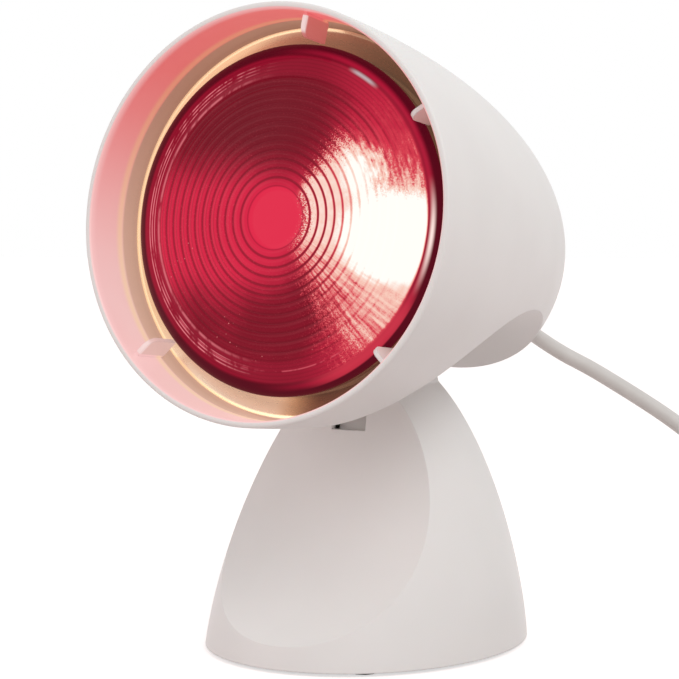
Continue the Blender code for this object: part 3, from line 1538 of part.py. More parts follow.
def make_plug(place_, way):
    """A round two-pin plug on its side; its local Z runs from the lead to its pins."""
    axis = anchor("plug_axis", place_, (-pi / 2, 0, atan2(-way.x, way.y)), lamp)
    bpy.context.view_layer.update()
    face = PLUG_GRIP_LENGTH + PLUG_HEAD_LENGTH
    profile = [
        (0, face),
        (PLUG_RADIUS - PLUG_EDGE, face),
        (PLUG_RADIUS, face - PLUG_EDGE),
        (PLUG_RADIUS, PLUG_GRIP_LENGTH + PLUG_EDGE),
        (PLUG_RADIUS - PLUG_EDGE, PLUG_GRIP_LENGTH),
        (PLUG_GRIP_RADIUS, PLUG_GRIP_LENGTH - PLUG_EDGE),
        (PLUG_GRIP_RADIUS, PLUG_GRIP_LENGTH / 2),
        (PLUG_TAIL_RADIUS, 0),
        (0, 0),
    ]
    body = turned("plug_body", profile, MEDIUM_STEPS, axis, LEAD_GREY)
    pins = []
    for side in (-1, 1):
        x = side * PLUG_PIN_SPACING / 2
        low, high = face - PLUG_PIN_SEAT, face + PLUG_PIN_LENGTH
        middle = (x, 0, (low + high) / 2)
        pins.append(
            rod(f"pin_{side}", PLUG_PIN_RADIUS, high - low, SMALL_STEPS, axis, BRASS, middle)
        )
        depth = 2 * (PLUG_PIN_SEAT + GAP)
        socket = rod(
            f"pin_socket_{side}",
            PLUG_PIN_RADIUS + GAP,
            depth,
            SMALL_STEPS,
            axis,
            None,
            (x, 0, face),
        )
        cut(body, socket)
    numbered("plug_pin", pins)


clear_scene()
parts = collection("heat_lamp")
cutters = collection("heat_lamp_cutters")
lamp = anchor("lamp", (0, FRAME_SHIFT, 0))
tilt_axis = anchor("tilt_axis", PIVOT, FLAT, lamp)
head_axis = anchor("head_axis", RIM_CENTRE - PIVOT, (pi / 2 - SHADE_TILT, 0, 0), tilt_axis)
exit_axis = anchor(
    "exit_axis", exit_frame() - PIVOT, (-pi / 2 - CORD_EXIT_DROOP, 0, 0), tilt_axis
)
bpy.context.view_layer.update()

make_base_shell()
make_base_underside()
make_ballast()
make_hinge()
make_leaf()
make_head_shell()
make_heat_shield()
make_lens()
make_reflector()
cap_end = make_cap()
make_filament()
strap_back = make_holder(cap_end)
make_arm()
make_strain_relief()
make_wires(strap_back)
make_switch()
hanging = make_mains_cord()
lying = make_coil()
for piece in parts.objects:
    if piece.type == "MESH":
        smooth(piece.data)
print("cord length:", round(hanging + SWITCH_LENGTH + lying, 3), "m")
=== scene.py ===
"""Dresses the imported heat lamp: smooth shapes, finishes, light and camera."""

from itertools import product
from math import atan2, ceil, cos, pi, radians, sin, sqrt

import bpy
from mathutils import Euler, Matrix, Vector


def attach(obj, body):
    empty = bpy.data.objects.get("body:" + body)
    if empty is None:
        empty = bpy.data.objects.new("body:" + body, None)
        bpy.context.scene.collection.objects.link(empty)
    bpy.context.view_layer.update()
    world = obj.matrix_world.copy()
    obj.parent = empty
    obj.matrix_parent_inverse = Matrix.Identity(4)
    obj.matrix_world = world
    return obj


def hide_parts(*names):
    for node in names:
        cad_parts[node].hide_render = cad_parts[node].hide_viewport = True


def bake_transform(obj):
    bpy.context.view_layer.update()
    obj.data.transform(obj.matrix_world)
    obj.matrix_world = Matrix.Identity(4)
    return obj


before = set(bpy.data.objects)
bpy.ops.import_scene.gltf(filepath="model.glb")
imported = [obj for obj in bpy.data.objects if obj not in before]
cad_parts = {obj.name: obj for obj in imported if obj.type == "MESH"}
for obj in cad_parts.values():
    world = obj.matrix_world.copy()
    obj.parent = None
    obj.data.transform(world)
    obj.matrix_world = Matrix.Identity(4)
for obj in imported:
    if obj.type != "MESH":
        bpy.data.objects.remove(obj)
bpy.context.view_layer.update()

# ---------------- fineness, in steps round a shape
OUTER_STEPS, BULB_STEPS, INNER_STEPS, SLEEVE_STEPS = 224, 192, 160, 80
SCOOP_STEPS, HOLLOW_STEPS, PLUG_STEPS = 512, 640, 96
SCREW_STEPS, PILLAR_STEPS, BORE_STEPS = 24, 32, 48

# ---------------- sizes in metres: the part's own, and those of the finer shapes here
GAP = 0.0003
BEYOND = 0.01  # how far a cutter reaches past what it cuts
SHADE_RADIUS, SHADE_LENGTH, SHADE_WALL = 0.072, 0.194, 0.0024
SHADE_BLUNTNESS, SHADE_TILT = 2.3, radians(5.8)
LIP_ROUND, LIP_STEP, MOUTH_FLARE = 0.001, 0.0004, 0.0009
RIM_REACH, RIM_HEIGHT = 0.0771, 0.1575
SCOOP_RADIUS, SCOOP_BACK, SCOOP_HEIGHT = 0.0817, 0.0157, 0.0418
RIB_ANGLES = (radians(80), radians(31), radians(-45), radians(-136))
RIB_THICKNESS, RIB_FRONT, RIB_INNER_RADIUS, RIB_CORNER = 0.0016, 0.005, 0.0616, 0.0042
VENT_ANGLES = tuple(radians(a) for a in (22.5, 67.5, 112.5, 157.5, 202.5, 337.5))
VENT_WIDTH, VENT_FROM, VENT_LENGTH = 0.003, 0.166, 0.015
BULB_RADIUS, BULB_SEAT, BULB_BODY_DEPTH, BULB_GLASS = 0.061, 0.019, 0.098, 0.0025
BULB_DEPTH_SHARES = (0.0, 0.1, 0.3, 0.5, 0.66, 0.76, 1.0)
BULB_RADIUS_SHARES = (1.0, 0.965, 0.83, 0.635, 0.46, 0.37, 0.345)
BULB_NECK_RADIUS = BULB_RADIUS * BULB_RADIUS_SHARES[-1]
LENS_RISE, LENS_GLASS, LENS_DISC_RADIUS, LENS_INNER_SHARE = 0.0072, 0.0035, 0.01065, 0.93
LENS_RIDGE_PITCH, LENS_RIDGE_COUNT, LENS_RIDGE_HEIGHT = 0.0032, 12, 0.0005
SHIELD_AIR, SHIELD_METAL, SHIELD_MOUTH_RADIUS = 0.0019, 0.0007, 0.0675
SHIELD_SETBACK, SHIELD_MOUTH_RUN = 0.007, 0.004
SHIELD_TAIL_RUN, SHIELD_TAIL_RADIUS = 0.007, 0.0185
BELLY_AIR, BELLY_FRONT, BELLY_TAIL = 0.0034, 0.01, 0.13
HOLDER_MOUTH, HOLDER_BACK, STRAP_THICKNESS = 0.128, 0.16, 0.002
BOSS_OFFSET, BOSS_RADIUS = 0.0275, 0.004
SCREW_RADIUS, LARGE_SCREW_RADIUS = 0.0015, 0.002
BASE_HALF_WIDTH, BASE_HALF_DEPTH = 0.0574, 0.068
BASE_PEAK, BASE_TOP, BASE_TOP_ROUND = 0.1084, 0.099, 0.003
BASE_SWELL, BASE_CLOSING, BASE_LEAN, BASE_WALL = 1.392, 0.516, 0.074, 0.0024
FRONT_HOLLOW_RADIUS, FRONT_HOLLOW_REACH, FRONT_HOLLOW_HEIGHT = 0.10714, 0.11985, 0.10184
BASE_UNDERSIDE, COVER_TOP, BRACKET_TOP = 0.0012, 0.0038, 0.041
COVER_SCREW_ACROSS, COVER_SCREW_ALONG, COVER_SCREW_LENGTH = 0.038, 0.03, 0.01
PILLAR_RADIUS, BRACKET_SCREW_ACROSS, BRACKET_SCREW_LENGTH = 0.004, 0.022, 0.012
SLOT_WIDTH, SLOT_SILL, SLOT_BACK = 0.014, 0.0795, 0.032
PIVOT_BACK, PIVOT_HEIGHT = 0.006, 0.072
ARM_FOOT_MIDDLE = PIVOT_BACK + GAP
ARM_THICKNESS, ARM_DISC_RADIUS, ARM_NECK_WIDTH = 0.013, 0.018, 0.02
ARM_FOOT_WIDTH, ARM_FOOT_DEPTH, ARM_FOOT_UNDERSIDE = 0.032, 0.018, 0.1075
ARM_SCREW_ACROSS, ARM_SCREW_LENGTH = 0.0115, 0.0112
DETENT_STEP, DETENT_FIRST, DETENT_COUNT, DETENT_NOTCH_RADIUS = radians(8), -1, 5, 0.00115
PIN_RADIUS = 0.003
CORD_RADIUS, CORD_EXIT_DEPTH, CORD_EXIT_DROOP = 0.0034, 0.19, radians(20)
RELIEF_LENGTH, RELIEF_COLLAR_RADIUS, RELIEF_COLLAR_LENGTH = 0.024, 0.0078, 0.003
RELIEF_ROOT_RADIUS, RELIEF_TIP_RADIUS = 0.0062, 0.0047
RELIEF_NECK_RADIUS, RELIEF_NECK_LENGTH = 0.0052, 0.009
RELIEF_TIP_ROUND, RELIEF_COLLAR_ROUND = 0.0004, 0.0008
RELIEF_GROOVE_START, RELIEF_GROOVE_PITCH = 0.0016, 0.0031
RELIEF_GROOVE_COUNT, RELIEF_GROOVE_DEPTH = 6.2, 0.00065
CORD_SEGMENT, CURVE_STEPS = 0.014, 20
CORD_ROUTE = (
    (0.001, 0.152, 0.107),
    (0.008, 0.161, 0.1002),
    (0.022, 0.165, 0.0925),
    (0.038, 0.1665, 0.0835),
    (0.056, 0.167, 0.073),
    (0.074, 0.167, 0.0605),
    (0.091, 0.166, 0.0465),
    (0.105, 0.1625, 0.0325),
    (0.1165, 0.1545, 0.0195),
    (0.1215, 0.1435, 0.0105),
)
SWITCH_X, SWITCH_Y, SWITCH_LENGTH, SWITCH_AXIS = 0.122, 0.093, 0.06, 0.0065
COIL_START_Y, COIL_OUTER_RADIUS, COIL_SPACING, COIL_LAYER = 0.023, 0.05, 0.0076, 0.0074
COIL_TURNS_IN, COIL_TURNS_OUT, COIL_LEAVING_ANGLE = 2.5, 2.5, radians(12)
COIL_POINTS_A_LOOP = 24
PLUG_RADIUS, PLUG_LEAD_RUN, PLUG_EDGE = 0.0183, 0.046, 0.002
PLUG_HEAD_LENGTH, PLUG_GRIP_LENGTH = 0.02, 0.026
PLUG_GRIP_RADIUS, PLUG_TAIL_RADIUS = 0.0105, 0.0062
PLUG_GROOVE_DEPTH, PLUG_GROOVE_SHARES, PLUG_WAIST_SHARE = 0.0006, (0.78, 0.67, 0.56), 0.48
PLUG_PIN_RADIUS, PLUG_PIN_SPACING, PLUG_PIN_SEAT = 0.0024, 0.019, 0.006
SWITCH_WIDTH, SWITCH_HEIGHT, SWITCH_WALL, SWITCH_CORNER = 0.027, 0.018, 0.002, 0.011
SWITCH_SCREW_ALONG, SWITCH_SCREW_LENGTH, SWITCH_HUB_RADIUS = 0.0215, 0.009, 0.003
SWITCH_EDGE, SCREW_HEAD_RADIUS, SCREW_HEAD_HEIGHT = 0.0022, 0.0031, 0.0011
WINDOW_HALF_WIDTH, WINDOW_HALF_LENGTH, ROCKER_DROP, AXLE_RADIUS = 0.0064, 0.0107, 0.0032, 0.001
CHEEK_INNER, CHEEK_THICKNESS, CHEEK_HALF_LENGTH, CHEEK_LOW = 0.007, 0.002, 0.004, 0.0105


def turned_by(*angles):
    return Euler(angles).to_matrix().to_4x4()


def shade_radius(depth, radius, length):
    """Radius of a bullet of this size at a depth behind its mouth."""
    return radius * sqrt(max(0, 1 - (depth / length) ** SHADE_BLUNTNESS))


FRAME_SHIFT = (
    RIM_REACH + (SHADE_RADIUS - LIP_ROUND) * sin(SHADE_TILT)
    - (SHADE_LENGTH * cos(SHADE_TILT) - RIM_REACH)
) / 2
LAMP = Matrix.Translation((0, FRAME_SHIFT, 0))
PIVOT = Vector((0, PIVOT_BACK, PIVOT_HEIGHT))
TILT = LAMP @ Matrix.Translation(PIVOT)
HEAD = (
    LAMP
    @ Matrix.Translation((0, -RIM_REACH, RIM_HEIGHT))
    @ turned_by(pi / 2 - SHADE_TILT, 0, 0)
)
EXIT_RADIUS = shade_radius(CORD_EXIT_DEPTH, SHADE_RADIUS, SHADE_LENGTH)
EXIT = HEAD @ Matrix.Translation((0, -EXIT_RADIUS, -CORD_EXIT_DEPTH))
EXIT = Matrix.Translation(EXIT.translation) @ turned_by(-pi / 2 - CORD_EXIT_DROOP, 0, 0)
ALONG_X = Matrix.Rotation(pi / 2, 4, "Y")


# ---------------- camera
def linked(name, data):
    """A new object of the scene that shows this data."""
    made = bpy.data.objects.new(name, data)
    bpy.context.scene.collection.objects.link(made)
    return made


def make_camera():
    data = bpy.data.cameras.new("view")
    data.lens = 98.94
    data.sensor_width = 36
    made = linked("view", data)
    made.location = (0.33739, -0.62225, 0.14509)
    made.rotation_euler = (radians(87.275), 0, radians(29.974))
    bpy.context.scene.camera = made


make_camera()


# ---------------- materials
def feed(tree, socket, value):
    """Gives an input its value: a link from another socket, or a plain setting."""
    if isinstance(value, Value):
        value = value.socket
    if isinstance(value, bpy.types.NodeSocket):
        tree.links.new(value, socket)
    else:
        socket.default_value = value


class Value:
    """A number in a node tree that can be reckoned with like any other."""

    def __init__(self, tree, socket):
        self.tree, self.socket = tree, socket

    def maths(self, kind, *others):
        node = self.tree.nodes.new("ShaderNodeMath")
        node.operation = kind
        for place, value in enumerate((self,) + others):
            feed(self.tree, node.inputs[place], value)
        return Value(self.tree, node.outputs[0])

    def __add__(self, other):
        return self.maths("ADD", other)

    def __sub__(self, other):
        return self.maths("SUBTRACT", other)

    def __mul__(self, other):
        return self.maths("MULTIPLY", other)

    def __truediv__(self, other):
        return self.maths("DIVIDE", other)

    def rise(self, low, high):
        """0 below low, 1 above high, smooth between; the other way round if low > high."""
        node = self.tree.nodes.new("ShaderNodeMapRange")
        node.interpolation_type = "SMOOTHSTEP"
        feed(self.tree, node.inputs["Value"], self)
        ends = (low, high, 0, 1) if low < high else (high, low, 1, 0)
        for name, value in zip(("From Min", "From Max", "To Min", "To Max"), ends):
            node.inputs[name].default_value = value
        return Value(self.tree, node.outputs[0])

    def hill(self, middle, half):
        """1 at the middle, 0 further than half away."""
        return (self - middle).maths("ABSOLUTE").rise(half, 0)


def hypotenuse(x, y):
    return (x * x + y * y).maths("SQRT")


class Nodes:
    """A node tree being filled."""

    def __init__(self, tree):
        self.tree = tree

    def node(self, kind, **inputs):
        made = self.tree.nodes.new(kind)
        for name, value in inputs.items():
            self.feed(made.inputs[name.replace("_", " ")], value)
        return made

    def feed(self, socket, value):
        feed(self.tree, socket, value)

    @staticmethod
    def rgba(colour):
        return (*colour, 1) if isinstance(colour, tuple) and len(colour) == 3 else colour

    def mix(self, share, first, second):
        made = self.tree.nodes.new("ShaderNodeMix")
        made.data_type = "RGBA"
        self.feed(made.inputs[0], share)
        self.feed(made.inputs[6], self.rgba(first))
        self.feed(made.inputs[7], self.rgba(second))
        return made.outputs[2]

    def layered(self, colour, *layers):
        """A colour with others laid over it, each by its share."""
        for share, over in layers:
            colour = self.mix(share, colour, over)
        return colour

    def seen_by(self, *kinds):
        """1 for the light path's rays of these kinds, 0 for all others."""
        path = self.node("ShaderNodeLightPath").outputs
        first, *others = (Value(self.tree, path[f"Is {kind} Ray"]) for kind in kinds)
        for other in others:
            first = first.maths("MAXIMUM", other)
        return first


class Finish(Nodes):
    """A material being made: its nodes, and the shader they end in."""

    def __init__(self, name):
        self.material = bpy.data.materials.new(name)
        self.material.use_nodes = True
        super().__init__(self.material.node_tree)
        self.shader = self.tree.nodes["Principled BSDF"]
        self.coords = self.node("ShaderNodeTexCoord").outputs["Object"]

    def place(self):
        """The three object coordinates, and the distance from the object's Z axis."""
        parts = self.node("ShaderNodeSeparateXYZ", Vector=self.coords).outputs
        x, y, z = (Value(self.tree, parts[i]) for i in range(3))
        return x, y, z, hypotenuse(x, y)

    def noise(self, scale, detail=2, roughness=0.5, stretch=None, coords=None):
        coords = self.coords if coords is None else coords
        if stretch:
            coords = self.node("ShaderNodeMapping", Vector=coords, Scale=stretch).outputs[0]
        made = self.node(
            "ShaderNodeTexNoise", Vector=coords, Scale=scale, Detail=detail, Roughness=roughness
        )
        return Value(self.tree, made.outputs[0])

    def cells(self, scale):
        made = self.node("ShaderNodeTexVoronoi", Vector=self.coords, Scale=scale)
        return Value(self.tree, made.outputs["Distance"])

    def bump(self, height, strength, distance, below=None):
        made = self.node("ShaderNodeBump", Strength=strength, Distance=distance, Height=height)
        if below:
            self.feed(made.inputs["Normal"], below)
        return made.outputs[0]

    def soft_edges(self, radius):
        made = self.node("ShaderNodeBevel", Radius=radius)
        made.samples = 6
        return made.outputs[0]

    def set(self, **inputs):
        for name, value in inputs.items():
            self.feed(self.shader.inputs[name.replace("_", " ")], self.rgba(value))


def darker(colour, share):
    return tuple(c * share for c in colour)


def moulded(name, colour, roughness):
    """Injection-moulded plastic: fine grain, faint flow marks, a little dust, softened edges."""
    made = Finish(name)
    flow = made.noise(28, 3)
    fine = made.noise(2600, 2, 0.6)
    dust = made.noise(700, 4, 0.7).rise(0.62, 0.8)
    wave = made.bump(made.noise(90, 1), 0.05, 0.0006, made.soft_edges(0.0006))
    made.set(
        Base_Color=made.layered(
            colour,
            (flow.rise(0.3, 0.75), darker(colour, 0.976)),
            (dust * 0.25, darker(colour, 0.9)),
        ),
        Roughness=(flow - 0.5) * 0.12 + roughness + fine * 0.05,
        Normal=made.bump(fine, 0.35, 0.00006, wave),
        Subsurface_Weight=0.03,
        Subsurface_Scale=0.002,
    )
    return made


WHITE, WHITE_ROUGHNESS = (0.80, 0.785, 0.77), 0.40


def make_shell_plastic():
    """The shade's plastic, with the bulb's red light painted on its inner wall and ribs in front
    of the bulb, and painted shade deeper in.
    """
    made = moulded("shell_plastic", WHITE, WHITE_ROUGHNESS)
    x, y, z, radius = made.place()
    front = z.rise(-0.036, -0.030)
    wall = radius.rise(0.0704, 0.0698) * radius.rise(0.0684, 0.0688) * front
    plate = radius.rise(0.0688, 0.0684) * radius.rise(0.058, 0.061) * front * x.rise(0.045, 0.02)
    # Painted light on the inner wall: the bulb's red glow, redder higher up and paler near the
    # lip, a painted glow line, then a painted shaded strip deeper in; the ribs' red glow and pale
    # front edges are painted too
    up = y.rise(-0.0315, 0.0595)
    painted_glow_line = made.mix(up, (0.88, 0.62, 0.42), (0.78, 0.26, 0.15))
    painted_shade_band = made.mix(up, (0.56, 0.36, 0.27), (0.33, 0.165, 0.11))
    rib_painted_glow = made.layered(
        (0.64, 0.45, 0.41),
        (up, (0.50, 0.10, 0.09)),
        (z.rise(-0.0066, -0.0054), (0.82, 0.68, 0.66)),
    )
    lining_painted_glow = made.layered(
        (0.83, 0.56, 0.56),
        (up, (0.78, 0.098, 0.110)),
        (made.noise(60, 2) * 0.2, (0.84, 0.30, 0.30)),
        (z.rise(-0.004, -0.0005) * 0.5, (0.95, 0.62, 0.62)),
        (z.hill(-0.0174, 0.0030), painted_glow_line),
        (z.rise(-0.0184, -0.0198), painted_shade_band),
        (plate, rib_painted_glow),
    )
    lit = (wall + plate).maths("MINIMUM", 1.0)
    tone = made.shader.inputs["Base Color"].links[0].from_socket
    # the painted inner wall and rib colours are given off as light: a painted glow
    made.set(
        Emission_Color=lining_painted_glow,
        Emission_Strength=lit * 0.72,
        Base_Color=made.mix(lit * 0.82, tone, (0.22, 0.08, 0.07)),
    )
    return made.material


def make_lens_glass():
    """Pressed ruby glass: ridge lines, stipple, and the lit filament's glow through it, with
    painted light, shade and highlights over its face.
    """
    made = Finish("ruby_glass")
    x, y, _, radius = made.place()
    angle = y.maths("ARCTAN2", x)
    grain = made.noise(900, 3, 0.7)
    stipple = made.noise(2300, 2, 0.6)
    patch = made.noise(55, 3, 0.55)
    tall = made.noise(300, 3, 0.6, (1.0, 0.35, 1.0))
    spokes = made.node("ShaderNodeCombineXYZ", X=angle * 36, Y=radius * 70).outputs[0]
    spokes = made.noise(1.0, 3, 0.5, coords=spokes)
    arcs = made.node("ShaderNodeCombineXYZ", X=angle * 9, Y=radius * 620).outputs[0]
    arcs = made.noise(1.0, 3, 0.6, coords=arcs)
    rough = (grain - 0.5) + (stipple - 0.5) * 1.9

    ring = ((radius - LENS_DISC_RADIUS) / LENS_RIDGE_PITCH).maths("FRACT")
    ribbed = radius.rise(LENS_DISC_RADIUS, LENS_DISC_RADIUS + 0.0005) * radius.rise(0.0500, 0.0485)
    # Darker lines in the ridges' grooves and on their crests further out: painted shade
    groove = (ring.rise(0.78, 0.95) + ring.rise(0.24, 0.05)) * ribbed
    crest = ring.hill(0.5, 0.12) * ribbed * radius.rise(0.020, 0.026)

    def far(cx, cy, half_x, half_y, turn=0.0):
        """How far a point lies from a soft patch of light, 1 at the patch's edge."""
        across = ((x - cx) * cos(turn) + (y - cy) * sin(turn)) / half_x
        along = ((y - cy) * cos(turn) - (x - cx) * sin(turn)) / half_y
        return hypotenuse(across, along)

    # The glow: a wedge from the disc outwards, white where the filament stands behind it
    turn, loose = angle + rough * 0.36, angle + rough * 0.2
    wedge = turn.rise(0.98, 0.64) * turn.rise(-1.26, -0.74)
    wedge = wedge * (radius + rough * 0.008).rise(0.010, 0.015)
    above = radius.rise(0.033, 0.042) * loose.rise(0.04, 0.36)
    corner = radius.rise(0.036, 0.046) * loose.rise(0.30, 0.62)
    below = loose.rise(-0.28, -0.82)
    heat = wedge * 0.78 * ((above * -0.58) + 1) * ((corner * -0.55) + 1) * ((below * -0.42) + 1)
    core = far(0.0455, -0.0065, 0.0150, 0.0118) + rough * 0.12
    lobe = far(0.0345, 0.0150, 0.0075, 0.0090, radians(30)) + rough * 0.3
    heat = heat + core.rise(1.6, 0.5) * 1.5 + lobe.rise(1.6, 0.4) * 0.5
    uneven = (spokes - 0.5) * below * 2.4 + (arcs - 0.5) * (above * 2.4 + 0.5)
    heat = heat * (uneven + 1)
    heat = heat * ((groove * (radius.rise(0.040, 0.017) * 0.72 + 0.20) * -1) + 1)
    heat = heat * radius.rise(0.0572, 0.0556)

    # Painted ruby light of the lens away from the glow, and a painted shaded patch near the top
    lit = far(-0.021, -0.004, 0.041, 0.025, radians(6)).rise(1.5, 0.35) * 0.95
    lit = lit + far(0.046, 0.022, 0.026, 0.026).rise(1.5, 0.3) * 0.75
    lit = lit + far(0.036, -0.044, 0.028, 0.014, radians(35)).rise(1.5, 0.3) * 0.5
    lit = lit + (patch - 0.5) * 0.6 + 0.08
    painted_shade_patch = far(-0.010, 0.034, 0.027, 0.018, radians(20)).rise(1.5, 0.3)
    disc = radius.rise(LENS_DISC_RADIUS + 0.0001, LENS_DISC_RADIUS - 0.0003)

    # The smooth shoulder outside the ridges, and the glass's edge, both painted brighter towards
    # the right
    outer = radius.rise(0.0485, 0.0500) * radius.rise(0.0572, 0.0560)
    rim_rings_and_painted_light = made.layered(
        (0.287, 0.004, 0.023),
        (x.rise(0.01, 0.035), (0.503, 0.013, 0.045)),
        ((radius / 0.0013).maths("FRACT").hill(0.5, 0.3) * 0.35, (0.138, 0.001, 0.010)),
    )
    edge = x.rise(-0.01, 0.03) * radius.hill(0.0578, 0.0018)
    edge = made.mix(edge, (0.080, 0.001, 0.008), (0.402, 0.007, 0.034))
    # painted light on the lower right of the shoulder
    low = radius.rise(0.0560, 0.0566) * x.rise(0.01, 0.03) * y.rise(-0.022, -0.034)
    low = low * radius.rise(0.0596, 0.0590)
    # thin painted highlight lines on the left, and a painted highlight arc below
    lines = radius.hill(0.0542, 0.0004) + radius.hill(0.0530, 0.0004)
    lines = lines + radius.hill(0.0518, 0.00035) * 0.8 + radius.hill(0.0497, 0.0008) * 0.6
    lines = lines * x.rise(-0.002, -0.030) * tall.rise(0.34, 0.56)
    painted_highlight_arc = radius.hill(0.0524, 0.0004) * y.rise(-0.020, -0.036) * tall.rise(0.40, 0.6)

    # Small lights: sparks and glitter in the glass, a sheen and a streak on its edge
    spark = made.cells(420).rise(0.13, 0.05) * patch.rise(0.46, 0.62)
    spark = spark * y.rise(0.012, -0.018) * radius.rise(0.012, 0.020) * radius.rise(0.052, 0.046)
    glitter = stipple.rise(0.58, 0.72) * radius.rise(0.055, 0.050) * radius.rise(0.011, 0.018)
    sheen = radius.hill(0.0562, 0.0011) * far(0.0300, 0.0475, 0.0075, 0.0075).rise(1.0, 0.3)
    streak = radius.hill(0.0583, 0.0012) * y.hill(-0.006, 0.021) * x.rise(0.02, 0.045)
    light = made.layered(
        (0.202, 0.001, 0.013),
        (lit.rise(0.0, 1.0), (0.672, 0.016, 0.058)),
        (painted_shade_patch * 0.75, (0.138, 0.007, 0.014)),
        (groove * 0.66, (0.150, 0.001, 0.010)),
        (crest * 0.4, (0.181, 0.002, 0.013)),
        (disc, (0.745, 0.021, 0.065)),
        (outer * 0.75, rim_rings_and_painted_light),
        (radius.rise(0.0558, 0.0574), edge),
        (low * 0.8, (0.617, 0.034, 0.065)),
        ((lines * 0.85).maths("MINIMUM", 0.85), (0.956, 0.262, 0.305)),
        (painted_highlight_arc * 0.6, (0.761, 0.117, 0.162)),
        (spark * 0.65, (0.956, 0.305, 0.305)),
        (glitter * (lit * 0.25 + 0.10), (0.839, 0.102, 0.138)),
        (heat.rise(0.02, 0.42), (0.730, 0.061, 0.089)),
        (heat.rise(0.26, 0.70), (0.930, 0.578, 0.479)),
        (heat.rise(0.62, 1.15), (1.0, 1.0, 0.94)),
        (sheen, (0.500, 0.400, 0.425)),
        (streak, (1.000, 0.807, 0.745)),
    )
    made.set(
        Base_Color=(0.014, 0.001, 0.002),
        Emission_Color=light,
        Emission_Strength=1.0,
        Roughness=grain * 0.10 + 0.08,
        Specular_IOR_Level=0.08,
        Normal=made.bump(stipple, 0.12, 0.0001, made.bump(grain, 0.08, 0.0001)),
    )
    return made.material


def metal(name, colour, roughness, stretch=(1, 1, 1), scale=500):
    """Drawn or pressed metal: fine lines, smudges and a little tarnish."""
    made = Finish(name)
    lines = made.noise(scale, 3, 0.6, stretch)
    smudge = made.noise(60, 3)
    made.set(
        Base_Color=made.mix(smudge.rise(0.42, 0.72) * 0.6, colour, darker(colour, 0.78)),
        Metallic=1.0,
        Roughness=lines * 0.16 + smudge * 0.1 + (roughness - 0.1),
        Normal=made.bump(lines, 0.12, 0.00008),
    )
    return made.material


def make_cup_metal():
    """Gilt mouth of the heat shield, with the bulb's warm light painted on it as a glow, and
    painted shade, a painted reflection and a painted highlight.
    """
    made = Finish("gilt_cup")
    x, y, _, radius = made.place()
    brushed = made.noise(240, 2, 0.5, (1, 1, 6))
    gold_and_painted_light = made.layered(
        (0.76, 0.49, 0.29),
        (made.noise(38, 2), (0.68, 0.42, 0.24)),
        # painted shade at the top on the right
        (y.rise(0.035, 0.055) * x.rise(-0.03, 0.0), (0.46, 0.25, 0.16)),
        # painted reflection: lighter low on the left
        (y.rise(-0.030, -0.058) * x.rise(0.004, -0.008), (0.74, 0.56, 0.42)),
        # painted shade on the right, and a painted shadow low on the right
        (x.rise(-0.004, 0.040) * y.rise(-0.02, 0.02), (0.225, 0.125, 0.075)),
        (x.rise(-0.006, 0.012) * y.rise(-0.02, -0.04), (0.22, 0.10, 0.065)),
        # painted highlight along the mouth's edge on the left
        (radius.rise(0.0669, 0.0674) * x.rise(0.03, 0.0), (0.92, 0.72, 0.44)),
    )
    made.set(
        Base_Color=gold_and_painted_light,
        Metallic=0.7,
        Roughness=brushed * 0.12 + 0.22,
        # the same colour given off as light: a painted glow
        Emission_Color=gold_and_painted_light,
        Emission_Strength=0.38,
        Normal=made.bump(brushed, 0.06, 0.0001),
    )
    return made.material


def speckled(name, colour, roughness, scale, depth):
    """Matte, mineral or rubber finishes: pitted and uneven."""
    made = Finish(name)
    coarse = made.noise(scale, 4, 0.65)
    made.set(
        Base_Color=made.mix(coarse.rise(0.35, 0.7), colour, darker(colour, 0.72)),
        Roughness=coarse * 0.15 + (roughness - 0.07),
        Normal=made.bump(coarse + made.cells(scale * 3) * 0.5, 0.5, depth),
    )
    return made.material


def glassy(name, colour, roughness, clear):
    """Glass, clear or opaque, with a faint ripple."""
    made = Finish(name)
    ripple = made.noise(140, 2)
    made.set(
        Base_Color=made.mix(ripple, colour, darker(colour, 0.9)),
        Roughness=ripple * 0.06 + roughness,
        Transmission_Weight=clear,
        Normal=made.bump(ripple, 0.08, 0.0002),
    )
    return made.material


def make_lead_sheath(name, colour, roughness):
    """Soft extruded sheath: fine grain and a dusty bloom."""
    made = Finish(name)
    bloom = made.noise(120, 4, 0.65)
    fine = made.noise(1800, 2)
    made.set(
        Base_Color=made.mix(bloom.rise(0.35, 0.7), colour, darker(colour, 0.95)),
        Roughness=bloom * 0.14 + (roughness - 0.07),
        Normal=made.bump(fine, 0.25, 0.00008, made.bump(bloom, 0.1, 0.0003)),
        Specular_IOR_Level=0.5,
    )
    return made.material


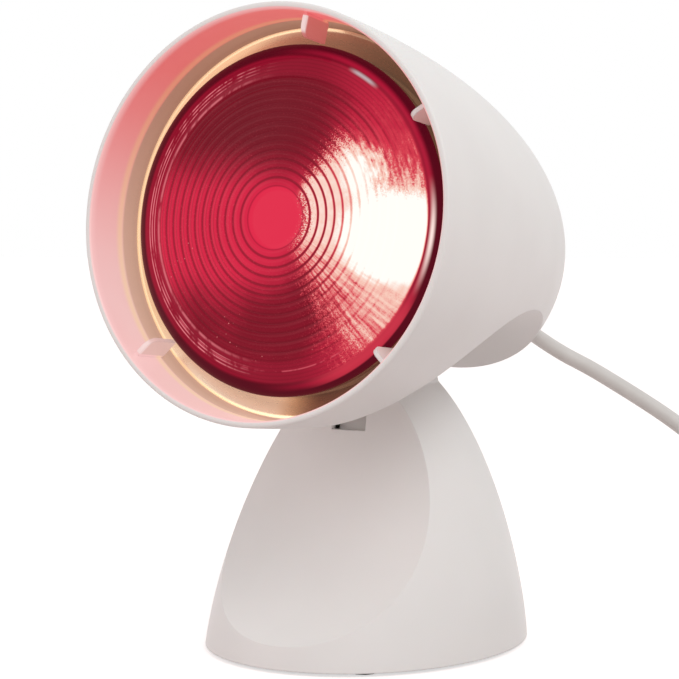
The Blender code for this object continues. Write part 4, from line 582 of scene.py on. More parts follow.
SHELL = make_shell_plastic()
PLASTIC = moulded("white_moulding", WHITE, WHITE_ROUGHNESS).material
LENS = make_lens_glass()
CUP = make_cup_metal()
SHEATH = make_lead_sheath("lead_sheath", (0.66, 0.64, 0.615), 0.42)
CAD_LOOKS = {
    "white_plastic": PLASTIC,
    "cover_plastic": moulded("cover_moulding", (0.62, 0.61, 0.60), 0.5).material,
    "foot_rubber": speckled("foot_rubber_look", (0.075, 0.075, 0.075), 0.85, 900, 0.0002),
    "ballast_iron": speckled("cast_iron", (0.13, 0.13, 0.135), 0.65, 350, 0.0004),
    "steel": metal("zinc_steel", (0.62, 0.62, 0.61), 0.36),
    "bright_cup": CUP,
    "red_glass": LENS,
    "mirror_glass": metal("silvered_glass", (0.80, 0.77, 0.74), 0.16, scale=200),
    "brass": metal("lamp_brass", (0.74, 0.56, 0.28), 0.34),
    "pin_metal": metal("pin_nickel", (0.70, 0.68, 0.63), 0.26, (1, 1, 12)),
    "black_insulator": glassy("black_vitrite", (0.02, 0.02, 0.024), 0.16, 0.0),
    "tungsten": metal("tungsten_wire", (0.34, 0.33, 0.32), 0.4),
    "clear_glass": glassy("stem_glass", (0.85, 0.88, 0.88), 0.03, 1.0),
    "porcelain": speckled("porcelain_body", (0.80, 0.78, 0.72), 0.42, 260, 0.0002),
    "lead": SHEATH,
    "live_core": make_lead_sheath("brown_core", (0.24, 0.11, 0.05), 0.5),
    "neutral_core": make_lead_sheath("blue_core", (0.05, 0.13, 0.42), 0.5),
}
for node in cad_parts.values():
    for place in node.material_slots:
        kind = place.material.name.split(".")[0] if place.material else ""
        if kind not in CAD_LOOKS:
            print("unknown slot", node.name, kind)
        place.material = CAD_LOOKS.get(kind, PLASTIC)


# ---------------- mesh helpers
def body_of_mesh(name, points, faces):
    mesh = bpy.data.meshes.new(name)
    mesh.from_pydata([tuple(p) for p in points], [], faces)
    mesh.validate()
    mesh.update()
    return linked(name, mesh)


def even(first, last, steps):
    """Even steps from first to last, both included."""
    return [first + (last - first) * i / steps for i in range(steps + 1)]


def circle(steps):
    """Cosines and sines round a full turn."""
    return [(cos(2 * pi * i / steps), sin(2 * pi * i / steps)) for i in range(steps)]


def quarter(steps):
    """Sines and cosines through a quarter turn, both ends included."""
    return [(sin(pi / 2 * i / steps), cos(pi / 2 * i / steps)) for i in range(steps + 1)]


def turned(name, profile, steps, closed=False):
    """Turns an outline of (radius, height) about local Z. It ends on the axis, or is a loop."""
    points, rows, faces = [], [], []
    for radius, height in profile:
        if radius <= 1e-9:
            rows.append([len(points)])
            points.append((0, 0, height))
            continue
        rows.append(list(range(len(points), len(points) + steps)))
        points += [(radius * c, radius * s, height) for c, s in circle(steps)]
    pairs = list(zip(rows, rows[1:]))
    if closed:
        pairs.append((rows[-1], rows[0]))
    for upper, lower in pairs:
        for i in range(steps):
            j = (i + 1) % steps
            corners = ((upper, i), (upper, j), (lower, j), (lower, i))
            face = dict.fromkeys(row[k % len(row)] for row, k in corners)
            if len(face) > 2:
                faces.append(tuple(face))
    return outward(body_of_mesh(name, points, faces))


def outward(made):
    """Turns the faces of a closed body outwards."""
    mesh = made.data
    volume = 0
    for face in mesh.polygons:
        corners = [mesh.vertices[i].co for i in face.vertices]
        for b, c in zip(corners[1:], corners[2:]):
            volume += corners[0].dot(b.cross(c))
    if volume < 0:
        mesh.flip_normals()
    return made


def skinned(name, rings):
    """A closed body over rings of as many points each, with flat ends."""
    count, last = len(rings[0]), (len(rings) - 1) * len(rings[0])
    faces = []
    for a in range(0, last, count):
        b = a + count
        for i in range(count):
            j = (i + 1) % count
            faces.append((a + i, a + j, b + j, b + i))
    faces.append(tuple(range(count))[::-1])
    faces.append(tuple(range(last, last + count)))
    return outward(body_of_mesh(name, [point for ring in rings for point in ring], faces))


def rod(name, radius, length, steps, place=(0, 0, 0), matrix=None, turn=None):
    """A plain round bar, centred on its place."""
    half = length / 2
    made = turned(name, [(0, half), (radius, half), (radius, -half), (0, -half)], steps)
    made.data.transform(Matrix.Translation(place) @ (turn or Matrix.Identity(4)))
    if matrix:
        made.data.transform(matrix)
    return made


def block(name, low, high):
    faces = [(0, 1, 3, 2), (4, 6, 7, 5), (0, 4, 5, 1), (2, 3, 7, 6), (0, 2, 6, 4), (1, 5, 7, 3)]
    return body_of_mesh(name, product(*zip(low, high)), faces)


def slab(name, outline, low, high, edge=0.0):
    """An outline drawn up from low to high, with its top and bottom edges rounded."""
    count = len(outline)
    middle = Vector((sum(p[0] for p in outline) / count, sum(p[1] for p in outline) / count))
    rounding = quarter(6) if edge else quarter(6)[:1]
    layers = [(edge * (1 - s), low + edge * (1 - c)) for s, c in rounding]
    layers += [(inset, high - (z - low)) for inset, z in reversed(layers)]
    rings = []
    for inset, z in layers:
        ring = []
        for i in range(count):
            a, b, c = (Vector(outline[(i + k) % count]) for k in (-1, 0, 1))
            away = (c - a).normalized()
            normal = Vector((away.y, -away.x))
            if normal.dot(b - middle) < 0:
                normal = -normal
            inner = b - normal * inset
            ring.append((inner.x, inner.y, z))
        rings.append(ring)
    return skinned(name, rings)


def joined(name, pieces):
    """Several bodies that don't touch, as one cutter."""
    points, faces = [], []
    for piece in pieces:
        start = len(points)
        points += [v.co.copy() for v in piece.data.vertices]
        faces += [tuple(i + start for i in f.vertices) for f in piece.data.polygons]
        bpy.data.objects.remove(piece)
    return body_of_mesh(name, points, faces)


def combined(target, tool, kind):
    """Changes the target by the tool, which is used up."""
    change = target.modifiers.new("cut", "BOOLEAN")
    change.solver = "MANIFOLD"
    change.operation = kind
    change.object = tool
    graph = bpy.context.evaluated_depsgraph_get()
    graph.update()
    mesh = bpy.data.meshes.new_from_object(target.evaluated_get(graph))
    target.modifiers.clear()
    target.data = mesh
    bpy.data.objects.remove(tool)
    if not mesh.polygons:
        raise ValueError(f"{target.name} vanished in a cut")
    return target


def cut(target, tool):
    return combined(target, tool, "DIFFERENCE")


def add(target, tool):
    return combined(target, tool, "UNION")


def finished(made, look, body, matrix, *nodes, slot, crease=35):
    """Shades a piece, gives it its finish and puts it on its body in a CAD node's place."""
    mesh = made.data
    mesh.materials.clear()
    mesh.materials.append(look)
    mesh.shade_smooth()
    mesh.set_sharp_from_angle(angle=radians(crease))
    made.matrix_world = matrix
    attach(made, body)
    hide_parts(*nodes)
    return made


def between(value, places, amounts):
    """Smooth curve through given amounts, without corners at the places."""
    last = len(places) - 1
    slopes = []
    for i in range(last + 1):
        low, high = max(i - 1, 0), min(i + 1, last)
        slopes.append((amounts[high] - amounts[low]) / (places[high] - places[low]))
    slopes[0] = 0
    i = next((k for k in range(last) if value <= places[k + 1]), last - 1)
    width = places[i + 1] - places[i]
    t = min(max((value - places[i]) / width, 0), 1)
    return (
        amounts[i] * (2 * t ** 3 - 3 * t ** 2 + 1)
        + amounts[i + 1] * (3 * t ** 2 - 2 * t ** 3)
        + slopes[i] * width * (t ** 3 - 2 * t ** 2 + t)
        + slopes[i + 1] * width * (t ** 3 - t ** 2)
    )


# ---------------- cords
def run_length(points):
    return sum((b - a).length for a, b in zip(points, points[1:]))


def curve_through(points, segment):
    """Even points along a smooth curve through given ones."""
    points = [Vector(p) for p in points]
    ghosts = [2 * points[0] - points[1]] + points + [2 * points[-1] - points[-2]]
    fine = []
    for a, b, c, d in zip(ghosts, ghosts[1:], ghosts[2:], ghosts[3:]):
        for i in range(CURVE_STEPS):
            t = i / CURVE_STEPS
            bend = 2 * a - 5 * b + 4 * c - d
            twist = 3 * b - a - 3 * c + d
            fine.append(0.5 * (2 * b + (c - a) * t + bend * t * t + twist * t ** 3))
    fine.append(points[-1])
    total = run_length(fine)
    count = ceil(total / segment)
    spaced = [fine[0]]
    run = 0
    for p, q in zip(fine, fine[1:]):
        run += (q - p).length
        if run >= total / count * len(spaced) and len(spaced) < count:
            spaced.append(q)
    spaced.append(fine[-1])
    return spaced


def straight_ended(start, start_way, end, end_way, middle, segment):
    """A curve that leaves its start, and reaches its end, straight along the given ways."""
    first = start + start_way * 2 * CORD_RADIUS
    last = end - end_way * 2 * CORD_RADIUS
    return [start] + curve_through([first] + middle + [last], segment) + [end]


def lead(name, points, sides, spacing):
    """A round cord with flat ends, along a smooth curve through its points."""
    path = curve_through(points, spacing)
    side = (path[1] - path[0]).orthogonal().normalized()
    rings = []
    for i, place in enumerate(path):
        way = (path[min(i + 1, len(path) - 1)] - path[max(i - 1, 0)]).normalized()
        side = (side - way * side.dot(way)).normalized()
        other = way.cross(side)
        rings.append([place + (side * c + other * s) * CORD_RADIUS for c, s in circle(sides)])
    made = skinned(name, rings)
    made.data.materials.append(SHEATH)
    made.data.shade_smooth()
    return made


def declared(made, points, *nodes, **says):
    """Hides the CAD nodes that a lead replaces. What cord it is, in says, is not used."""
    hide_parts(*nodes)
    run_length(points)


def coil_points():
    """Two flat layers: in along the floor, up over half a turn, and out again on top."""
    rate = COIL_SPACING / (2 * pi)
    centre = Vector((SWITCH_X + COIL_OUTER_RADIUS, COIL_START_Y, CORD_RADIUS))
    sweep_in = 2 * pi * COIL_TURNS_IN
    sweep_out = 2 * pi * COIL_TURNS_OUT + COIL_LEAVING_ANGLE
    sweep = sweep_in + pi + sweep_out
    count = ceil(sweep / (2 * pi) * COIL_POINTS_A_LOOP)
    inner = COIL_OUTER_RADIUS - rate * sweep_in
    points = []
    for i in range(count + 1):
        run = sweep * i / count
        if run < sweep_in:
            radius, rise = COIL_OUTER_RADIUS - rate * run, 0
        elif run < sweep_in + pi:
            x = run - sweep_in
            radius, rise = inner - rate * x + rate * x * x / pi, (1 - cos(x)) / 2
        else:
            radius, rise = inner + rate * (run - sweep_in - pi), 1
        angle = pi + run
        reach = Vector((radius * cos(angle), radius * sin(angle), COIL_LAYER * rise))
        points.append(centre + reach)
    last = pi + sweep
    points.insert(0, points[0] + Vector((0, 2 * CORD_RADIUS, 0)))
    points.append(points[-1] + Vector((-sin(last), cos(last), 0)) * 2 * CORD_RADIUS)
    return points


def switch_outline(inset):
    """Rounded oblong of the switch, seen from above."""
    corner = SWITCH_CORNER - inset
    across, along = SWITCH_WIDTH / 2 - inset - corner, SWITCH_LENGTH / 2 - inset - corner
    points = []
    for number, (side, end) in enumerate(((1, 1), (-1, 1), (-1, -1), (1, -1))):
        for i in range(15):
            angle = pi / 2 * (number + i / 14)
            points.append((side * across + corner * cos(angle), end * along + corner * sin(angle)))
    return points


def switch_rods(name, radius, length):
    """A round cutter at each of the two screws."""
    places = [(0, side * SWITCH_SCREW_ALONG, 0) for side in (-1, 1)]
    return joined(name, [rod(name, radius, length, SCREW_STEPS, place) for place in places])


def make_switch():
    """The two halves of the in-line switch, with soft outer edges."""
    place = LAMP @ Matrix.Translation((SWITCH_X, SWITCH_Y, 0))
    far = 0.05
    made = []
    for name, keep, room in (
        ("switch_bottom", SWITCH_AXIS - GAP / 2, (SWITCH_WALL, SWITCH_AXIS + BEYOND)),
        ("switch_top", SWITCH_AXIS + GAP / 2, (SWITCH_AXIS - BEYOND, SWITCH_HEIGHT - SWITCH_WALL)),
    ):
        lower = name == "switch_bottom"
        case = slab("lead_" + name, switch_outline(0), 0, SWITCH_HEIGHT, SWITCH_EDGE)
        rest = (keep, far) if lower else (-far, keep)
        cut(case, block("rest", (-far, -far, rest[0]), (far, far, rest[1])))
        hollow = slab("hollow", switch_outline(SWITCH_WALL), *room)
        cut(hollow, switch_rods("hub", SWITCH_HUB_RADIUS, 3 * SWITCH_HEIGHT))
        if not lower:
            for side in (-1, 1):
                half = CHEEK_THICKNESS / 2
                x = side * (CHEEK_INNER + half)
                cut(hollow, block(
                    "cheek",
                    (x - half, -CHEEK_HALF_LENGTH, CHEEK_LOW),
                    (x + half, CHEEK_HALF_LENGTH, SWITCH_HEIGHT),
                ))
        cut(case, hollow)
        counterbore = SCREW_HEAD_HEIGHT + GAP
        if lower:
            cut(case, switch_rods("head", SCREW_HEAD_RADIUS + GAP, 2 * counterbore))
        else:
            axle = SWITCH_HEIGHT - ROCKER_DROP
            cut(case, block(
                "window",
                (-WINDOW_HALF_WIDTH, -WINDOW_HALF_LENGTH, axle),
                (WINDOW_HALF_WIDTH, WINDOW_HALF_LENGTH, SWITCH_HEIGHT + BEYOND),
            ))
            reach = 2 * (CHEEK_INNER + CHEEK_THICKNESS) + GAP
            cut(case, rod("bore", AXLE_RADIUS + GAP, reach, 20, (0, 0, axle), turn=ALONG_X))
        reach = 2 * (SWITCH_SCREW_LENGTH + counterbore) + BEYOND / 2
        cut(case, switch_rods("hole", SCREW_RADIUS + GAP, reach))
        made.append(finished(case, PLASTIC, "base", place, name, slot="white_plastic"))
    return made


def softened(corners):
    """An outline of (radius, height, rounding) corners, with the corners rounded."""
    outline = []
    for i, (radius, height, rounding) in enumerate(corners):
        here = Vector((radius, height))
        if not rounding:
            outline.append((radius, height))
            continue
        before = (Vector(corners[i - 1][:2]) - here).normalized() * rounding
        after = (Vector(corners[i + 1][:2]) - here).normalized() * rounding
        for k in range(7):
            t = k / 6
            point = here + before * (1 - t) ** 2 + after * t ** 2
            outline.append((point.x, point.y))
    return outline


def make_plug(place, way):
    """The round plug, with a grooved grip behind its head."""
    face = PLUG_GRIP_LENGTH + PLUG_HEAD_LENGTH
    corners = [
        (0, face, 0),
        (PLUG_RADIUS, face, PLUG_EDGE),
        (PLUG_RADIUS, PLUG_GRIP_LENGTH, PLUG_EDGE),
        (PLUG_GRIP_RADIUS, PLUG_GRIP_LENGTH - PLUG_EDGE, PLUG_EDGE),
    ]
    for share in PLUG_GROOVE_SHARES:
        height = PLUG_GRIP_LENGTH * share
        corners += [
            (PLUG_GRIP_RADIUS, height + 0.0009, 0.0003),
            (PLUG_GRIP_RADIUS - PLUG_GROOVE_DEPTH, height + 0.0005, 0.0002),
            (PLUG_GRIP_RADIUS - PLUG_GROOVE_DEPTH, height - 0.0005, 0.0002),
            (PLUG_GRIP_RADIUS, height - 0.0009, 0.0003),
        ]
    corners += [
        (PLUG_GRIP_RADIUS, PLUG_GRIP_LENGTH * PLUG_WAIST_SHARE, 0.003),
        (PLUG_TAIL_RADIUS, 0, 0.0006),
        (0, 0, 0),
    ]
    body = turned("moulded_plug", softened(corners), PLUG_STEPS)
    for side in (-1, 1):
        hole = (side * PLUG_PIN_SPACING / 2, 0, face)
        cut(body, rod("socket", PLUG_PIN_RADIUS + GAP, 2 * (PLUG_PIN_SEAT + GAP), 40, hole))
    place = Matrix.Translation(place) @ turned_by(-pi / 2, 0, atan2(-way.x, way.y))
    return finished(body, SHEATH, "base", place, "plug_body", slot="lead")


def make_cords():
    """The lead from the shade to the in-line switch, and from there by a coil to the plug."""
    cases = make_switch()
    start = LAMP.inverted() @ (EXIT @ Vector((0, 0, RELIEF_LENGTH + GAP)))
    way = Vector((0, cos(CORD_EXIT_DROOP), -sin(CORD_EXIT_DROOP)))
    inlet = Vector((SWITCH_X, SWITCH_Y + SWITCH_LENGTH / 2 + GAP, SWITCH_AXIS))
    back = Vector((0, -1, 0))
    route = [Vector(p) for p in CORD_ROUTE]
    hanging = [LAMP @ p for p in straight_ended(start, way, inlet, back, route, CORD_SEGMENT)]
    made = lead("hanging_lead", hanging, sides=24, spacing=0.0025)
    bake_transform(made)
    fittings = ["switch_rocker", "rocker_axle"]
    fittings += [f"switch_{kind}_{i}" for kind in ("screw", "terminal") for i in (1, 2)]
    declared(
        made, hanging, "mains_cord", far_end="fitting", lay="hanging", with_pieces=cases + fittings
    )

    coil = coil_points()
    first = coil[0] + Vector((0, GAP, 0))
    outlet = Vector((SWITCH_X, SWITCH_Y - SWITCH_LENGTH / 2 - GAP, SWITCH_AXIS))
    tail = straight_ended(outlet, back, first, back, [(outlet + first) / 2], 2 * CORD_RADIUS)
    way = (coil[-1] - coil[-2]).normalized()
    start = coil[-1] + way * GAP
    end = start + way * PLUG_LEAD_RUN
    end.z = PLUG_RADIUS
    flat = Vector((way.x, way.y, 0)).normalized()
    run = straight_ended(start, way, end, flat, [(start + end) / 2], 2 * CORD_RADIUS)
    lying = [LAMP @ p for p in tail[:-1] + coil + run[1:]]
    made = lead("lying_lead", lying, sides=20, spacing=0.0035)
    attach(made, "base")
    plug = [make_plug(LAMP @ end, flat), "plug_pin_1", "plug_pin_2"]
    nodes = ("switch_cord", "cord_coil", "plug_cord")
    declared(made, lying, *nodes, far_end="plug", lay="coiled", with_pieces=plug)
    print("cord lengths", round(run_length(hanging), 4), round(run_length(lying), 4))


make_cords()


# ---------------- head
def shade_solid(name, radius, length, rings, steps, flare=0.0):
    """The bullet with a rounded lip or, as the room inside it, open and flared in front."""
    if flare:
        profile = [(0, BEYOND), (radius + flare, BEYOND)]
        profile += [(radius + flare * (1 - s), -flare * (1 - c)) for s, c in quarter(5)]
    else:
        profile = [(0, 0)]
        profile += [(radius - LIP_ROUND * (1 - s), -LIP_ROUND * (1 - c)) for s, c in quarter(6)]
    for s, _ in quarter(rings)[1:]:
        depth = length * s
        if depth > (flare or LIP_ROUND) + LIP_STEP:
            profile.append((shade_radius(depth, radius, length), -depth))
    profile[-1] = (0, -length)
    return turned(name, profile, steps)


def bulb_radius(depth):
    share = between(max(depth, 0) / BULB_BODY_DEPTH, BULB_DEPTH_SHARES, BULB_RADIUS_SHARES)
    return BULB_RADIUS * share


def belly_solid(name, growth):
    """The room that the bulb's back takes, grown all round."""
    profile = [
        (bulb_radius(depth - BULB_SEAT) + growth, -depth)
        for depth in even(BELLY_FRONT, BELLY_TAIL, 60)
    ]
    profile = [(0, -BELLY_FRONT)] + profile + [(0, -BELLY_TAIL)]
    return turned(name, profile, INNER_STEPS)


def scoop_solid(name, radius, matrix):
    """The round bar, across the lamp, that hollows the shade's underside."""
    place = Vector((0, SCOOP_BACK, SCOOP_HEIGHT)) - PIVOT
    return rod(name, radius, 4 * SHADE_RADIUS, SCOOP_STEPS, place, matrix, ALONG_X)


def rib(name, angle):
    """A radial plate whose inner front corner is round."""
    inner, outer, back = RIB_INNER_RADIUS, SHADE_RADIUS + BEYOND, BULB_SEAT + SHIELD_METAL
    outline = [(outer, -back), (outer, -RIB_FRONT)]
    outline += [
        (inner + RIB_CORNER * (1 - s), -RIB_FRONT - RIB_CORNER * (1 - c)) for s, c in quarter(12)
    ]
    outline.append((inner, -back))
    made = slab(name, outline, -RIB_THICKNESS / 2, RIB_THICKNESS / 2)
    made.data.transform(Matrix.Rotation(angle, 4, "Z") @ Matrix.Rotation(pi / 2, 4, "X"))
    return made


def rounded_vent(number, angle):
    """A slot with round ends, cut straight in through the tail."""
    half, reach = VENT_WIDTH / 2, VENT_LENGTH / 2 - VENT_WIDTH / 2
    outline = []
    for side in (1, -1):
        for i in range(9):
            turn = pi * i / 8
            outline.append((half * cos(turn) * side, side * (reach + half * sin(turn))))
    made = slab(f"vent_{number}", outline, BULB_NECK_RADIUS, BULB_NECK_RADIUS + SHADE_RADIUS)
    made.data.transform(Matrix(((0, 0, 1, 0), (1, 0, 0, 0), (0, 1, 0, 0), (0, 0, 0, 1))))
    made.data.transform(Matrix.Translation((0, 0, -VENT_FROM - VENT_LENGTH / 2)))
    made.data.transform(Matrix.Rotation(angle, 4, "Z"))
    return made


def screw_hole(length, place):
    """A hole whose mouth is at its place, with room for a screw of this length."""
    return rod("screw_hole", SCREW_RADIUS + GAP, 2 * length, SCREW_STEPS, place)


def arm_screw_hole(side, matrix=None):
    """The hole of an arm screw, through the arm's foot and the shade on it."""
    place = Vector((side * ARM_SCREW_ACROSS, ARM_FOOT_MIDDLE, ARM_FOOT_UNDERSIDE)) - PIVOT
    radius = LARGE_SCREW_RADIUS + GAP
    return rod("arm_screw_hole", radius, 4 * ARM_SCREW_LENGTH, SCREW_STEPS, place, matrix)


def make_shade():
    """The shade with its ribs, bosses, vents and holes, and the belly that closes its scoop."""
    to_head = HEAD.inverted() @ TILT
    shell = shade_solid("shade", SHADE_RADIUS, SHADE_LENGTH, 96, OUTER_STEPS)
    cut(shell, scoop_solid("scoop", SCOOP_RADIUS, to_head))
    add(shell, belly_solid("belly", BELLY_AIR + SHADE_WALL))
    inside = (SHADE_RADIUS - SHADE_WALL, SHADE_LENGTH - SHADE_WALL)
    room = shade_solid("room", *inside, 72, OUTER_STEPS, MOUTH_FLARE)
    cut(room, scoop_solid("scoop_wall", SCOOP_RADIUS + SHADE_WALL, to_head))
    add(room, belly_solid("belly_room", BELLY_AIR))
    ribs = [rib(f"rib_{i}", angle) for i, angle in enumerate(RIB_ANGLES)]
    front = HOLDER_BACK + STRAP_THICKNESS + 2 * GAP
    for side in (-1, 1):
        middle = (side * BOSS_OFFSET, 0, -(front + SHADE_LENGTH) / 2)
        ribs.append(rod("boss", BOSS_RADIUS, SHADE_LENGTH - front, PILLAR_STEPS, middle))
    cut(room, joined("ribs", ribs))
    cut(shell, room)
    holes = [rounded_vent(i, angle) for i, angle in enumerate(VENT_ANGLES)]
    for side in (-1, 1):
        place = (side * BOSS_OFFSET, 0, -HOLDER_BACK)
        holes.append(screw_hole(BRACKET_SCREW_LENGTH, place))
        holes.append(arm_screw_hole(side, to_head))
    seat = HEAD.inverted() @ EXIT
    length = 4 * RELIEF_NECK_LENGTH
    holes.append(rod("relief_hole", RELIEF_NECK_RADIUS + GAP, length, BORE_STEPS, matrix=seat))
    for hole in holes:
        cut(shell, hole)
    return finished(shell, SHELL, "head", HEAD, "head_shell", slot="white_plastic")


def make_lens():
    """Ridged front round a plain middle disc, with a smooth shoulder."""
    def front(radius):
        return LENS_RISE * sqrt(max(0, 1 - min(radius / BULB_RADIUS, 1) ** 4))

    seam = -BULB_SEAT
    profile = [(radius, seam + front(radius)) for radius in even(0, LENS_DISC_RADIUS, 6)]
    for ridge in range(LENS_RIDGE_COUNT):
        for i in range(1, 8):
            radius = LENS_DISC_RADIUS + (ridge + i / 7) * LENS_RIDGE_PITCH
            lift = LENS_RIDGE_HEIGHT * sin(pi * i / 7)
            profile.append((radius, seam + front(radius) + lift))
    last = profile[-1][0]
    for s, _ in quarter(24)[1:]:
        radius = last + (BULB_RADIUS - last) * s
        profile.append((radius, seam + max(front(radius), GAP / 2)))
    profile += [(BULB_RADIUS, seam + GAP / 2), (BULB_RADIUS - BULB_GLASS, seam + GAP / 2)]
    inner = LENS_RISE - LENS_GLASS
    for i in range(8, 0, -1):
        share = LENS_INNER_SHARE * i / 8
        profile.append((share * BULB_RADIUS, seam + inner * (1 - share ** 4)))
    profile.append((0, seam + inner))
    made = turned("ruby_lens", profile, BULB_STEPS)
    return finished(made, LENS, "head", HEAD, "bulb_lens", crease=60, slot="red_glass")


def make_cup():
    """Heat shield: one air gap outside the bulb, with a flared mouth."""
    mouth = -(BULB_SEAT + SHIELD_SETBACK)
    throat = bulb_radius(SHIELD_SETBACK + SHIELD_MOUTH_RUN) + SHIELD_AIR
    path = []
    for share in even(0, 1, 12):
        swell = 0.7 * share + 0.3 * sin(pi / 2 * share)
        radius = SHIELD_MOUTH_RADIUS + (throat - SHIELD_MOUTH_RADIUS) * swell
        path.append((radius, mouth - share * SHIELD_MOUTH_RUN))
    for depth in even(SHIELD_SETBACK + SHIELD_MOUTH_RUN, BULB_BODY_DEPTH, 40)[1:]:
        path.append((bulb_radius(depth) + SHIELD_AIR, -BULB_SEAT - depth))
    tail = -(HOLDER_MOUTH - GAP)
    path.append((BULB_NECK_RADIUS + SHIELD_AIR, tail + SHIELD_TAIL_RUN))
    path.append((SHIELD_TAIL_RADIUS, tail))
    outer = [(radius + SHIELD_METAL, height) for radius, height in path]
    made = turned("gilt_shield", outer + path[::-1], BULB_STEPS, closed=True)
    return finished(made, CUP, "head", HEAD, "heat_shield", slot="bright_cup")


def make_reflector():
    """The silvered back of the bulb, from the seam to its neck."""
    outer = [(bulb_radius(d), -BULB_SEAT - d) for d in even(0, BULB_BODY_DEPTH, 48)]
    outer[0] = (BULB_RADIUS, -BULB_SEAT - GAP / 2)
    inner = [(radius - BULB_GLASS, height) for radius, height in outer]
    floor = outer[-1][1] + BULB_GLASS
    inner = [p for p in inner if p[1] > floor] + [(outer[-1][0] - BULB_GLASS, floor)]
    profile = [(0, floor)] + inner[::-1] + outer + [(0, outer[-1][1])]
    made = turned("silvered_bulb", profile, INNER_STEPS)
    look = CAD_LOOKS["mirror_glass"]
    return finished(made, look, "head", HEAD, "bulb_reflector", slot="mirror_glass")


def arm_outline():
    """The arm seen from the side: a disc round the pivot, and the neck above it."""
    half = ARM_NECK_WIDTH / 2
    start = atan2(sqrt(ARM_DISC_RADIUS ** 2 - half ** 2), half)
    sweep = 2 * pi - (pi - 2 * start)
    points = []
    for i in range(97):
        angle = pi - start + sweep * i / 96
        points.append((ARM_DISC_RADIUS * cos(angle), ARM_DISC_RADIUS * sin(angle)))
    top = RIM_HEIGHT - PIVOT_HEIGHT - BULB_NECK_RADIUS
    points += [(half, top), (-half, top)]
    return points


def make_arm():
    """The tilting arm, its detent notches, and its foot fitted to scoop and belly."""
    arm = slab("arm", arm_outline(), -ARM_THICKNESS / 2, ARM_THICKNESS / 2)
    arm.data.transform(Matrix.Rotation(pi / 2, 4, "Z") @ Matrix.Rotation(pi / 2, 4, "X"))
    foot_back = ARM_FOOT_MIDDLE + ARM_FOOT_DEPTH / 2
    foot_front = ARM_FOOT_MIDDLE - ARM_FOOT_DEPTH / 2
    ahead = SCOOP_BACK - foot_front
    foot_top = SCOOP_HEIGHT + sqrt(SCOOP_RADIUS ** 2 - ahead ** 2) - GAP
    low = Vector((-ARM_FOOT_WIDTH / 2, foot_front, ARM_FOOT_UNDERSIDE)) - PIVOT
    high = Vector((ARM_FOOT_WIDTH / 2, foot_back, foot_top)) - PIVOT
    add(arm, block("arm_foot", low, high))
    seat = belly_solid("seat", BELLY_AIR + SHADE_WALL + GAP)
    seat.data.transform(TILT.inverted() @ HEAD)
    cut(arm, seat)
    cut(arm, rod("bore", PIN_RADIUS + GAP, 2 * ARM_THICKNESS, BORE_STEPS, turn=ALONG_X))
    for number in range(DETENT_COUNT):
        angle = -pi / 2 + (number + DETENT_FIRST) * DETENT_STEP
        place = (0, ARM_DISC_RADIUS * cos(angle), ARM_DISC_RADIUS * sin(angle))
        cut(arm, rod("notch", DETENT_NOTCH_RADIUS, 2 * ARM_THICKNESS, 20, place, turn=ALONG_X))
    for side in (-1, 1):
        cut(arm, arm_screw_hole(side))
    return finished(arm, PLASTIC, "head", TILT, "tilt_arm", slot="white_plastic")


def make_relief():
    """Tapered sleeve with bending grooves round it."""
    last = RELIEF_COLLAR_LENGTH
    profile = [(0, RELIEF_LENGTH), (RELIEF_TIP_RADIUS - RELIEF_TIP_ROUND, RELIEF_LENGTH)]
    for height in even(RELIEF_LENGTH - RELIEF_TIP_ROUND, last, 96):
        share = (height - last) / (RELIEF_LENGTH - last)
        radius = RELIEF_ROOT_RADIUS + (RELIEF_TIP_RADIUS - RELIEF_ROOT_RADIUS) * share
        phase = (height - last - RELIEF_GROOVE_START) / RELIEF_GROOVE_PITCH
        groove = max(0, cos(2 * pi * phase)) ** 3 if 0 < phase < RELIEF_GROOVE_COUNT else 0
        profile.append((radius - RELIEF_GROOVE_DEPTH * groove, height))
    collar, edge = RELIEF_COLLAR_RADIUS, RELIEF_COLLAR_ROUND
    profile += [(collar - edge * (1 - s), last - edge * (1 - c)) for s, c in quarter(5)]
    profile += [(collar, -RELIEF_NECK_LENGTH), (0, -RELIEF_NECK_LENGTH)]
    sleeve = turned("flex_sleeve", profile, SLEEVE_STEPS)
    seat = shade_solid("seat", SHADE_RADIUS + GAP, SHADE_LENGTH + GAP, 72, INNER_STEPS)
    seat.data.transform(EXIT.inverted() @ HEAD)
    cut(sleeve, seat)
    neck = RELIEF_NECK_LENGTH + RELIEF_COLLAR_LENGTH
    middle = (0, 0, (RELIEF_COLLAR_LENGTH - RELIEF_NECK_LENGTH) / 2)
    add(sleeve, rod("neck", RELIEF_NECK_RADIUS, neck, SLEEVE_STEPS, middle))
    cut(sleeve, rod("bore", CORD_RADIUS + GAP, 4 * RELIEF_LENGTH, 40))
    return finished(sleeve, SHEATH, "head", EXIT, "strain_relief", slot="lead")


make_shade()
make_lens()
make_cup()
make_reflector()
make_arm()
make_relief()


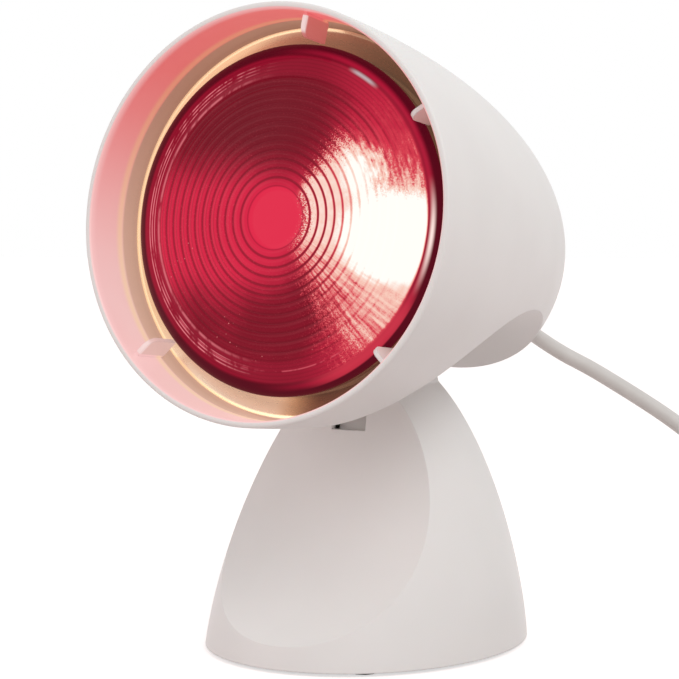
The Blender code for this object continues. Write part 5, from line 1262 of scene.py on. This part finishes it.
# ---------------- base
def dome_solid(name, inset, low, rings, steps):
    """The base's dome, or the room inside it, down to low and hollowed in front."""
    radius, peak, top = BASE_HALF_DEPTH - inset, BASE_PEAK - inset, BASE_TOP - inset

    def width(height):
        return radius * (1 - (max(height, 0) / peak) ** BASE_SWELL) ** BASE_CLOSING

    shoulder = top - BASE_TOP_ROUND
    profile = [(0, top)]
    for s, c in quarter(8):
        inward = BASE_TOP_ROUND * (1 - s)
        profile.append((width(shoulder) - inward, shoulder + BASE_TOP_ROUND * c))
    profile += [(width(height), height) for height in even(shoulder, low, rings)[1:]]
    profile.append((0, low))
    made = turned(name, profile, steps)
    shape = Matrix.Identity(4)
    shape[0][0] = (BASE_HALF_WIDTH - inset) / radius
    shape[1][2] = BASE_LEAN
    made.data.transform(shape)
    place = (0, -FRONT_HOLLOW_REACH, FRONT_HOLLOW_HEIGHT)
    radius, length = FRONT_HOLLOW_RADIUS + inset, 4 * BASE_HALF_WIDTH
    return cut(made, rod("hollow", radius, length, HOLLOW_STEPS, place, turn=ALONG_X))


def make_base():
    """The base's shell with its screw pillars and the slot for the arm."""
    shell = dome_solid("pedestal", 0, BASE_UNDERSIDE, 56, OUTER_STEPS)
    room = dome_solid("base_room", BASE_WALL, -BEYOND, 40, INNER_STEPS)
    screws = [
        (x, y, COVER_TOP, COVER_SCREW_LENGTH)
        for x in (-COVER_SCREW_ACROSS, COVER_SCREW_ACROSS)
        for y in (-COVER_SCREW_ALONG, COVER_SCREW_ALONG)
    ]
    screws += [
        (side * BRACKET_SCREW_ACROSS, PIVOT_BACK, BRACKET_TOP, BRACKET_SCREW_LENGTH)
        for side in (-1, 1)
    ]
    pillars, holes = [], []
    for x, y, foot, length in screws:
        low = foot + GAP
        middle = (x, y, (low + BASE_PEAK) / 2)
        pillars.append(rod("pillar", PILLAR_RADIUS, BASE_PEAK - low, PILLAR_STEPS, middle))
        holes.append(screw_hole(length, (x, y, foot)))
    cut(room, joined("pillars", pillars))
    cut(shell, room)
    low = (-SLOT_WIDTH / 2, -BASE_HALF_DEPTH, SLOT_SILL)
    cut(shell, block("slot", low, (SLOT_WIDTH / 2, SLOT_BACK, BASE_PEAK + BEYOND)))
    for hole in holes:
        cut(shell, hole)
    return finished(shell, PLASTIC, "base", LAMP, "base_shell", slot="white_plastic")


make_base()


# ---------------- stage and light
def make_floor():
    """A pale floor, lit up to white where it is seen, as behind the photo's lamp."""
    made = Finish("pale_floor")
    tone = made.noise(6, 3)
    made.set(
        Base_Color=made.mix(tone, (0.64, 0.56, 0.55), (0.61, 0.53, 0.52)),
        Roughness=tone * 0.2 + 0.6,
        Emission_Color=(1.0, 1.0, 1.0),
        Emission_Strength=made.seen_by("Camera", "Glossy") * 0.62,
    )
    size = 30
    corners = [(-size, -size, 0), (size, -size, 0), (size, size, 0), (-size, size, 0)]
    floor = body_of_mesh("studio_floor", corners, [(0, 1, 2, 3)])
    floor.data.materials.append(made.material)


def make_world():
    """A white background that lights a little less than it shows."""
    world = bpy.data.worlds.new("studio")
    bpy.context.scene.world = world
    world.use_nodes = True
    nodes = Nodes(world.node_tree)
    back = nodes.tree.nodes["Background"]
    seen = nodes.seen_by("Camera", "Glossy", "Transmission")
    nodes.feed(back.inputs["Color"], nodes.mix(seen, (0.70, 0.69, 0.685), (1, 1, 1)))
    nodes.feed(back.inputs["Strength"], 1.0)


def area_light(name, place, size, power, colour=(1, 1, 1)):
    """A round lamp that looks at the middle of the heat lamp."""
    data = bpy.data.lights.new(name, "AREA")
    data.shape = "DISK"
    data.size = size
    data.energy = power
    data.color = colour
    made = linked(name, data)
    made.location = place
    target = Vector((0, 0, 0.12))
    made.rotation_euler = (target - Vector(place)).to_track_quat("-Z", "Y").to_euler()


make_floor()
make_world()
area_light("key", (0.9, -0.5, 1.1), size=0.9, power=6.4)
area_light("fill", (-0.9, -0.9, 0.5), size=0.8, power=2.2, colour=(1, 0.78, 0.77))
bpy.context.scene.view_settings.view_transform = "Standard"
